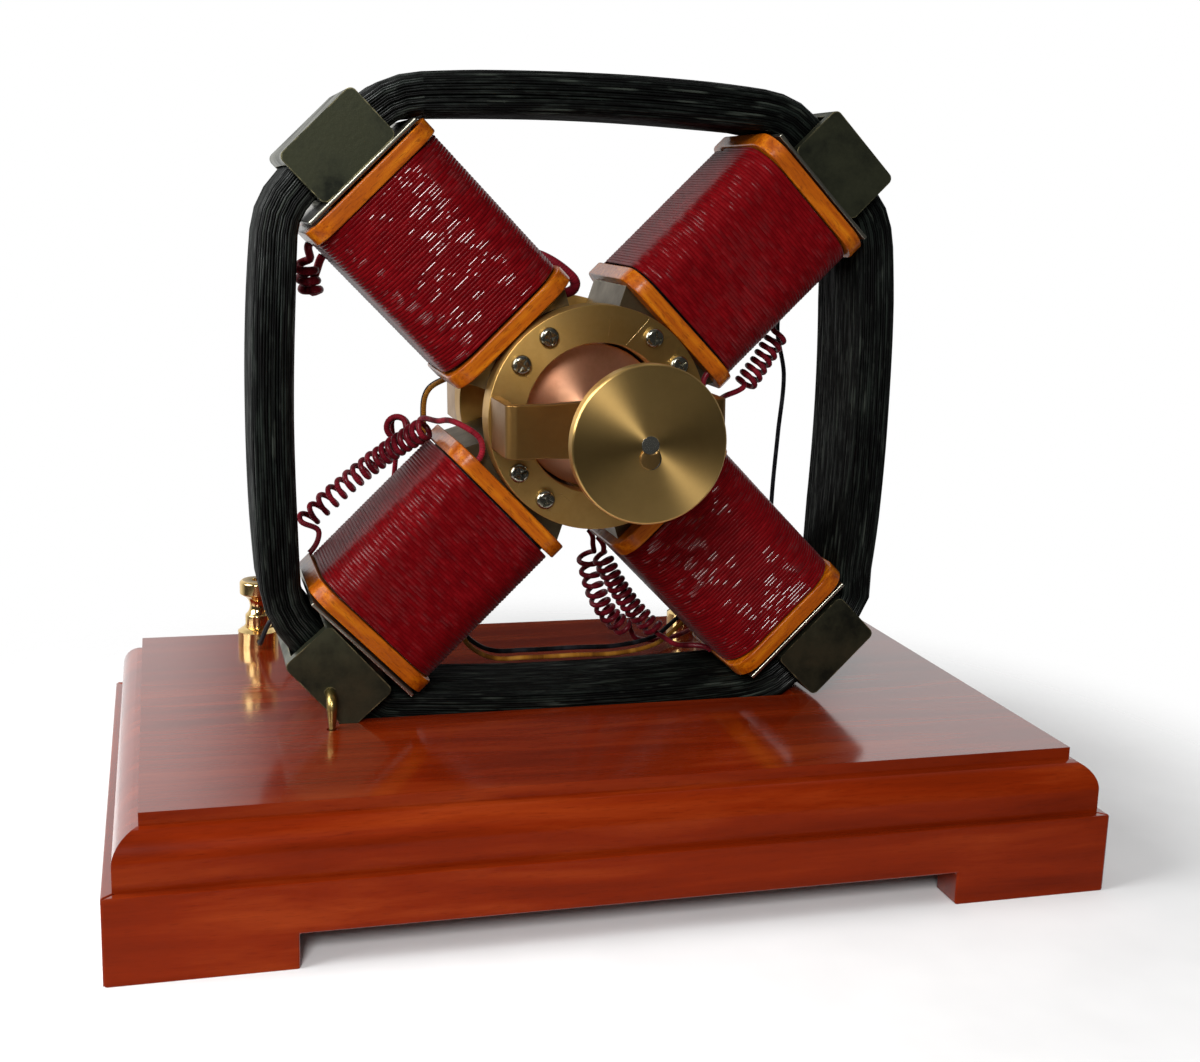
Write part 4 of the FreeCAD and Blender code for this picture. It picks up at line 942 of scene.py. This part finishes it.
def makeCurlyLeads():
    random = np.random.default_rng(lead["seed"])
    axisZ = motor["axisHeight"]
    boardTop = motor["boardTop"]
    lift = lead["lift"]
    depth, hole = motor["postDepth"], motor["postHoleHeight"]
    inner, outer, flange = motor["windingInner"], motor["windingOuter"], motor["flangeInner"]
    ll, lr, ur = "lower_left", "lower_right", "upper_right"

    stations = cornerStations(ll, (outer, 17.0, -lift, -1, 0, 0), (86.0, 19.5, -25.4, -1, 0.5, -0.9))
    axis = cornerPlaces(ll, (87.0, 26.0, -29.8), (62.0, 21.0, -30.4), (50.0, 15.0, -29.2), (38.5, 4.0, -28.4))
    stations += curls(axis, lead["curl"], 16, 320, random, 0.1)
    stations += cornerStations(ll, (33.6, -9.0, -29.5, -0.5, -1, 0.1), (30.0, -20.0, -25.0, -0.3, -0.7, 1),
                               (30.2, -22.0, -18.5, 0.7, 0, 1), (flange, -22.0, -16.0, 1, 0, 0))
    makeLead("curlyLeadLeft", stations, materials["cotton"], "silk", "lead_left")

    stations = cornerStations(ll, (inner, 20.0, -lift, 1, 0, 0), (44.0, 19.0, -26.0, 0.3, 0, -1))
    axis = [(-53.6, 21.5, axisZ - 9.2), (-52.0, 31.0, axisZ - 10.7), (-50.7, 39.5, axisZ - 12.0)]
    stations += curls(axis, lead["looseCurl"], 7, 70, random, 0.06)
    stations += [((-50.5, 46.0, axisZ - 24.0), unitWay(-0.05, 0.25, -1)),
                 ((-55.0, 54.0, boardTop + 22.0), unitWay(-0.25, 0.1, -1)),
                 ((-62.0, 50.0, boardTop + 4.6), unitWay(-0.3, 0.5, -0.6)),
                 ((-63.4, depth, hole), unitWay(0, 1, 0))]
    makeLead("curlyLeadRear", stations, materials["cotton"], "silk", "lead_rear")

    stations = cornerStations(ur, (outer, 4.0, -lift, -1, 0, 0), (72.0, 4.0, -27.0, -1, 0, -0.6))
    axis = cornerPlaces(ur, (64.0, 2.0, -31.6), (54.0, 1.0, -34.2), (44.5, 0.0, -34.8))
    stations += curls(axis, lead["curl"], 7, 230, random, 0.1)
    stations += cornerStations(ur, (37.0, -6.0, -31.0, -0.8, -0.6, 0.5), (30.0, -20.0, -24.0, -0.2, -0.6, 1),
                               (30.2, -22.0, -18.5, 0.7, 0, 1), (flange, -22.0, -16.0, 1, 0, 0))
    makeLead("curlyLeadRight", stations, materials["cotton"], "silk", "lead_right")

    stations = cornerStations(lr, (inner, 10.0, -lift, 1, 0, 0), (44.6, 11.6, -25.0, 0.9, 0.8, -0.9))
    axis = cornerPlaces(lr, (46.6, 14.0, -27.0), (58.0, 14.0, -30.5),
                        (66.0, 14.0, -32.5), (79.0, 13.0, -31.6))
    stations += curls(axis, lead["smallCurl"], 12, 60, random, 0.1)
    stations += cornerStations(lr, (83.0, 7.0, -31.0, 0.8, -1, 0.1), (88.0, 1.0, -26.0, 1, -0.5, 1),
                               (outer, -0.5, -lift, 1, 0, 0))
    makeLead("curlyLeadLowerFront", stations, materials["cotton"], "silk", "lead_lower_front")

    stations = cornerStations(lr, (inner, 21.5, -lift, 1, 0, 0), (43.8, 23.2, -25.0, 1, 0.9, -0.8))
    axis = cornerPlaces(lr, (46.5, 27.0, -29.5), (58.0, 27.5, -37.0),
                        (67.0, 28.0, -40.5), (77.0, 29.0, -38.0))
    stations += curls(axis, lead["curl"], 9, 350, random, 0.12)
    stations += [((34.0, 35.0, boardTop + 5.5), unitWay(1, 0.6, -0.35)),
                 ((52.0, 47.0, boardTop + 2.4), unitWay(1, 0.8, 0)),
                 ((63.4, depth, hole), unitWay(0, 1, 0))]
    makeLead("curlyLeadLowerRear", stations, materials["cotton"], "silk", "lead_lower_rear")


makeCurlyLeads()


# Plain leads
# A springy line through its places, square to what it meets at both ends
def springyStations(places):
    places = [np.asarray(place, float) for place in places]
    stations = []
    for index, place in enumerate(places):
        before = places[max(index - 1, 0)]
        after = places[min(index + 1, len(places) - 1)]
        way = after - before
        stations.append((place, way / np.linalg.norm(way)))
    return stations


def makePlainLeads():
    axisZ = motor["axisHeight"]
    ul, ur, lr, ll = "upper_left", "upper_right", "lower_right", "lower_left"
    hole = motor["postHoleHeight"]
    depth = motor["postDepth"]

    places = [(-95.4, depth, hole), (-95.2, 59.2, 45.9), (-94.2, 57.6, 49.4), (-92.4, 56.9, 53.6),
              (-90.4, 56.7, 55.9), (-88.3, 56.4, 55.7), (-86.9, 55.4, 53.0), (-84.9, 52.4, 49.6),
              (-80.6, 46.6, 47.7), (-75.6, 39.6, 48.8), (-71.4, 34.4, 53.0), (-67.8, 31.0, 59.2),
              cornerPlace(ll, 95.2, 29.75, 4.5), cornerPlace(ll, 95.2, 24.75, 4.5)]
    makeLead("postLeadLeft", springyStations(places), materials["darkCotton"], "dark_cotton",
             "post_lead_left")

    places = [cornerPlace(ur, 95.2, 24.75, -14.4), cornerPlace(ur, 95.2, 31.25, -14.4),
              cornerPlace(ur, 90.0, 34.75, -26.0), (80.5, 34.0, axisZ + 22.5), (83.6, 33.5, axisZ + 6.5),
              (83.0, 34.5, axisZ - 14.0), (82.8, 36.5, axisZ - 36.0), (84.0, 39.0, axisZ - 56.0),
              (88.0, 43.0, axisZ - 72.0), (93.0, 48.0, axisZ - 84.0), (95.1, 54.5, axisZ - 89.2),
              (95.4, depth, hole)]
    makeLead("postLeadRight", springyStations(places), materials["darkCotton"], "dark_cotton",
             "post_lead_right")

    for name, behind, above, cotton, replaced in (
            ("crossLeadBrown", 0.0, 0.0, "brownCotton", ["cross_leads"]),
            ("crossLeadBlack", 2.3, 2.0, "darkCotton", [])):
        foot = lead["limbTop"] + above
        places = [cornerPlace(ul, 34.5, 20.9 + behind, 17.5), cornerPlace(ul, 30.5, 20.9 + behind, 17.5),
                  (-43.0, 24.0 + behind, axisZ + 2.5), (-44.0, 27.5 + behind, axisZ - 7.5),
                  (-42.5, 29.0 + behind, axisZ - 24.0), (-39.5, 28.6 + behind, axisZ - 44.0),
                  (-36.5, 26.0 + behind, axisZ - 62.0), (-31.5, 21.0 + behind, foot + 8.0),
                  (-23.0, 18.4 + behind, foot + 1.4), (-10.0, 17.7 + behind, foot + 0.7),
                  (7.0, 17.6 + behind, foot + 0.8), (22.0, 17.9 + behind, foot + 0.7),
                  (36.0, 20.3 + behind, foot + 2.6), (47.0, 25.5 + behind, foot + 8.0),
                  cornerPlace(lr, 95.0, 30.75 + behind, above - 5.8),
                  cornerPlace(lr, 95.0, 24.75, above - 5.8)]
        makeLead(name, springyStations(places), materials[cotton], "dark_cotton", *replaced)


makePlainLeads()


# Spare ends of the upper left coil: one looped behind the yoke, one bent over the flange's corner
def makeSpareEnds():
    random = np.random.default_rng(lead["spareSeed"])
    ul = "upper_left"
    outerEnd = cornerStations(ul, (91.8, 17.0, 23.4, -0.2, 0, 1))
    axis = cornerPlaces(ul, (88.6, 19.0, 28.4), (84.0, 20.0, 31.5), (80.4, 20.0, 33.5))
    outerEnd += curls(axis, lead["spareCurl"], 3, 60, random, 0.05)
    outerEnd += cornerStations(ul, (84.0, 24.0, 27.0, 0.5, 0, -1), (86.0, 22.0, 22.9, 0.2, 0, -1))
    innerEnd = springyStations(cornerPlaces(
        ul, (45.0, -3.0, -22.4), (42.0, -3.5, -24.0), (38.0, -4.0, -25.3), (33.0, -4.0, -26.2),
        (29.4, -3.0, -26.2), (27.6, -1.0, -24.4), (28.6, 1.0, -21.6), (31.4, 2.0, -20.2), (34.6, 2.0, -20.0)))
    for name, stations, thick in (("spareEndOuter", outerEnd, lead["spareOuterWire"]),
                                  ("spareEndInner", innerEnd, lead["spareInnerWire"])):
        points = smoothRun(stations, lead["step"])[0]
        run = {"points": points, "radius": thick / 2}
        piece = wireMesh(name, [run], lead["spareSides"], materials["cotton"])
        standIn(piece, "stand", "silk")


makeSpareEnds()
print("leads laid")


# Hairlines scribed on the front ring, and a dark line beside the key pin that paints the pin's shadow
marks = {
    "face": -27.4,           # mm, the ring's front
    "lines": [((15.1, 165.9), (7.6, 157.8)), ((2.4, 166.3), (2.0, 159.2)),
              ((-11.5, 113.0), (-8.2, 110.6)), ((-24.8, 149.5), (-21.5, 147.6))],
    "width": 0.1,
    "bow": 0.12,
    "lineSteps": 8,
    "keyFace": -80.05,
    "keyRing": 2.95,
    "keyMiddle": (0.0, 132.0),
    "keyArc": (-95, 60),     # degrees
    "keyWidth": 0.32,
    "keySteps": 20,
    "sides": 6,
}


# A line's half width at each step, thin at both ends
def fineTaper(width, steps, tip):
    return width / 2 * np.sin(np.linspace(tip, math.pi - tip, steps))


def makeMarks():
    look = marks
    runs = []
    share = np.linspace(0, 1, look["lineSteps"])[:, None]
    bow = np.sin(share * math.pi) * np.array((look["bow"], 0.0, look["bow"]))
    for (startX, startZ), (endX, endZ) in look["lines"]:
        start = np.array((startX, look["face"], startZ))
        end = np.array((endX, look["face"], endZ))
        runs.append({"points": start + (end - start) * share + bow,
                     "radius": fineTaper(look["width"], look["lineSteps"], 0.25)})
    lines = wireMesh("ringHairlines", runs, look["sides"], materials["postBrass"])
    standIn(lines, "stand", "ring_brass")
    # A dark arc beside the key pin: a painted shadow
    angles = np.radians(np.linspace(*look["keyArc"], look["keySteps"]))
    middle = look["keyMiddle"]
    arc = np.stack([middle[0] + look["keyRing"] * np.cos(angles), np.full(look["keySteps"], look["keyFace"]),
                    middle[1] + look["keyRing"] * np.sin(angles)], axis=1)
    run = {"points": arc, "radius": fineTaper(look["keyWidth"], look["keySteps"], 0.2)}
    edge = wireMesh("keyPinPaintedShadow", [run], look["sides"], materials["yokeWire"])
    standIn(edge, "rotor", "disc_brass")


makeMarks()
print("marks made")


# Hold-down hooks
# Brass rod drawn thinner towards the foot
hook = {
    "wire": 3.2,
    "footWire": 2.0,
    "x": 79.7,
    "y": 27.2,
    "armHeight": 9.7,
    "footTop": 1.0,
    "bend": 3.6,
    "entry": 2.4,
    "root": 10.8,
    "wall": 22.5,
    "taper": (0.5, 6.0),     # heights above the board
    "step": 0.6,
    "sides": 20,
}


def makeHooks():
    look = hook
    runs = []
    for x, y in ((-look["x"], -look["y"]), (look["x"], look["y"])):
        inward = -1 if y > 0 else 1
        armZ = motor["boardTop"] + look["armHeight"]
        stations = [((x, y, motor["boardTop"] - look["root"]), (0, 0, 1)),
                    ((x, y, motor["boardTop"] + look["footTop"]), (0, 0, 1)),
                    ((x, y, armZ - look["bend"]), (0, 0, 1)),
                    ((x, y + inward * look["bend"], armZ), (0, inward, 0)),
                    ((x, -inward * look["wall"] + inward * look["entry"], armZ), (0, inward, 0))]
        points = smoothRun(stations, look["step"])[0]
        height = points[:, 2] - motor["boardTop"]
        width = np.interp(height, look["taper"], [look["footWire"], look["wire"]])
        runs.append({"points": points, "radius": width / 2})
    piece = wireMesh("holdDownHooks", runs, look["sides"], materials["hookBrass"])
    standIn(piece, "stand", "hook_brass", "hold_down_hooks")


makeHooks()
print("hooks bent")


# Studio
studio = {
    "white": 1.0,
    "room": 0.25,            # light from all round
    "aim": (0, 0, 0.12),
    "left": {"place": (-0.62, -0.1, 0.44), "size": 0.5, "power": 6.0},
    "front": {"place": (-0.43, -1.15, 0.76), "size": 0.34, "power": 12.5},
    "top": {"place": (0.0, 0.15, 1.3), "size": 1.2, "power": 1.2},
    "mirror": (0.0, 0.7, 0.05, 1.0),     # surroundings in mirror views: dark in front, white behind
    "flag": 0.23,                        # and a dark screen behind the motor, its place as x over y
    "flagEdge": (0.13, 0.25, 0.02, 1.0),
    "floorFade": (0.18, 0.3, 1.0, 0.0),  # metres from the plinth's middle
    "floorWide": 6.0,
}


def makeStudio():
    world = bpy.data.worlds.new("studioRoom")
    bpy.context.scene.world = world
    world.use_nodes = True
    tree = world.node_tree
    tree.nodes.clear()
    place = addNode(tree, "TexCoord")
    split = addNode(tree, "SeparateXYZ", {0: place.outputs["Generated"]})
    depth = stretch(tree, split.outputs[1], *studio["mirror"])
    lean = addNode(tree, "Math", {"operation": "DIVIDE", 0: split.outputs[0], 1: split.outputs[1]})
    aside = addNode(tree, "Math", {"operation": "SUBTRACT", 1: studio["flag"], 0: lean.outputs[0]})
    away = addNode(tree, "Math", {"operation": "ABSOLUTE", 0: aside.outputs[0]})
    shown = stretch(tree, away.outputs[0], *studio["flagEdge"], "SMOOTHSTEP")
    strength = addNode(tree, "Math", {"operation": "MULTIPLY", 0: depth, 1: shown})
    seen = addNode(tree, "LightPath")
    mirror = addNode(tree, "Background", {"Color": "#ffffff", "Strength": strength.outputs[0]})
    glow = addNode(tree, "Background", {"Color": "#ffffff", "Strength": studio["room"]})
    white = addNode(tree, "Background", {"Color": "#ffffff", "Strength": studio["white"]})
    glossy = addNode(tree, "Math", {"operation": "MAXIMUM",
                                    0: seen.outputs["Is Glossy Ray"], 1: seen.outputs["Is Transmission Ray"]})
    first = addNode(tree, "MixShader", {0: glossy.outputs[0], 1: glow.outputs[0], 2: mirror.outputs[0]})
    second = addNode(tree, "MixShader", {
        0: seen.outputs["Is Camera Ray"], 1: first.outputs[0], 2: white.outputs[0]})
    addNode(tree, "OutputWorld", {"Surface": second.outputs[0]})

    for name in ("left", "front", "top"):
        look = studio[name]
        data = bpy.data.lights.new(name + "Lamp", "AREA")
        data.size = look["size"]
        data.energy = look["power"]
        lamp = bpy.data.objects.new(name + "Lamp", data)
        bpy.context.scene.collection.objects.link(lamp)
        lamp.location = look["place"]
        aim = Vector(studio["aim"]) - lamp.location
        lamp.rotation_euler = aim.to_track_quat("-Z", "Y").to_euler()

    material, tree, shader = startMaterial("floorPaperWhite", {"Roughness": 0.9, "Specular IOR Level": 0.1})
    fibre = addNode(tree, "TexNoise", {"Scale": 400.0, "Detail": 2.0})
    tone = colourRamp(tree, fibre.outputs[0], (0.3, "#f3f3f3"), (0.7, "#f8f8f8"))
    feed(shader, "Base Color", tone)
    spot = addNode(tree, "TexCoord")
    distance = addNode(tree, "VectorMath", {"operation": "LENGTH", 0: spot.outputs["Object"]})
    fade = stretch(tree, distance.outputs["Value"], *studio["floorFade"], "SMOOTHSTEP")
    feed(shader, "Alpha", fade)
    mesh = bpy.data.meshes.new("floor")
    wide = studio["floorWide"]
    corners = [(-wide, -wide, 0), (wide, -wide, 0), (wide, wide, 0), (-wide, wide, 0)]
    mesh.from_pydata(corners, [], [(0, 1, 2, 3)])
    mesh.materials.append(material)
    floor = bpy.data.objects.new("floor", mesh)
    bpy.context.scene.collection.objects.link(floor)


makeStudio()
scene = bpy.context.scene
scene.view_settings.view_transform = "Standard"
print("studio lit")
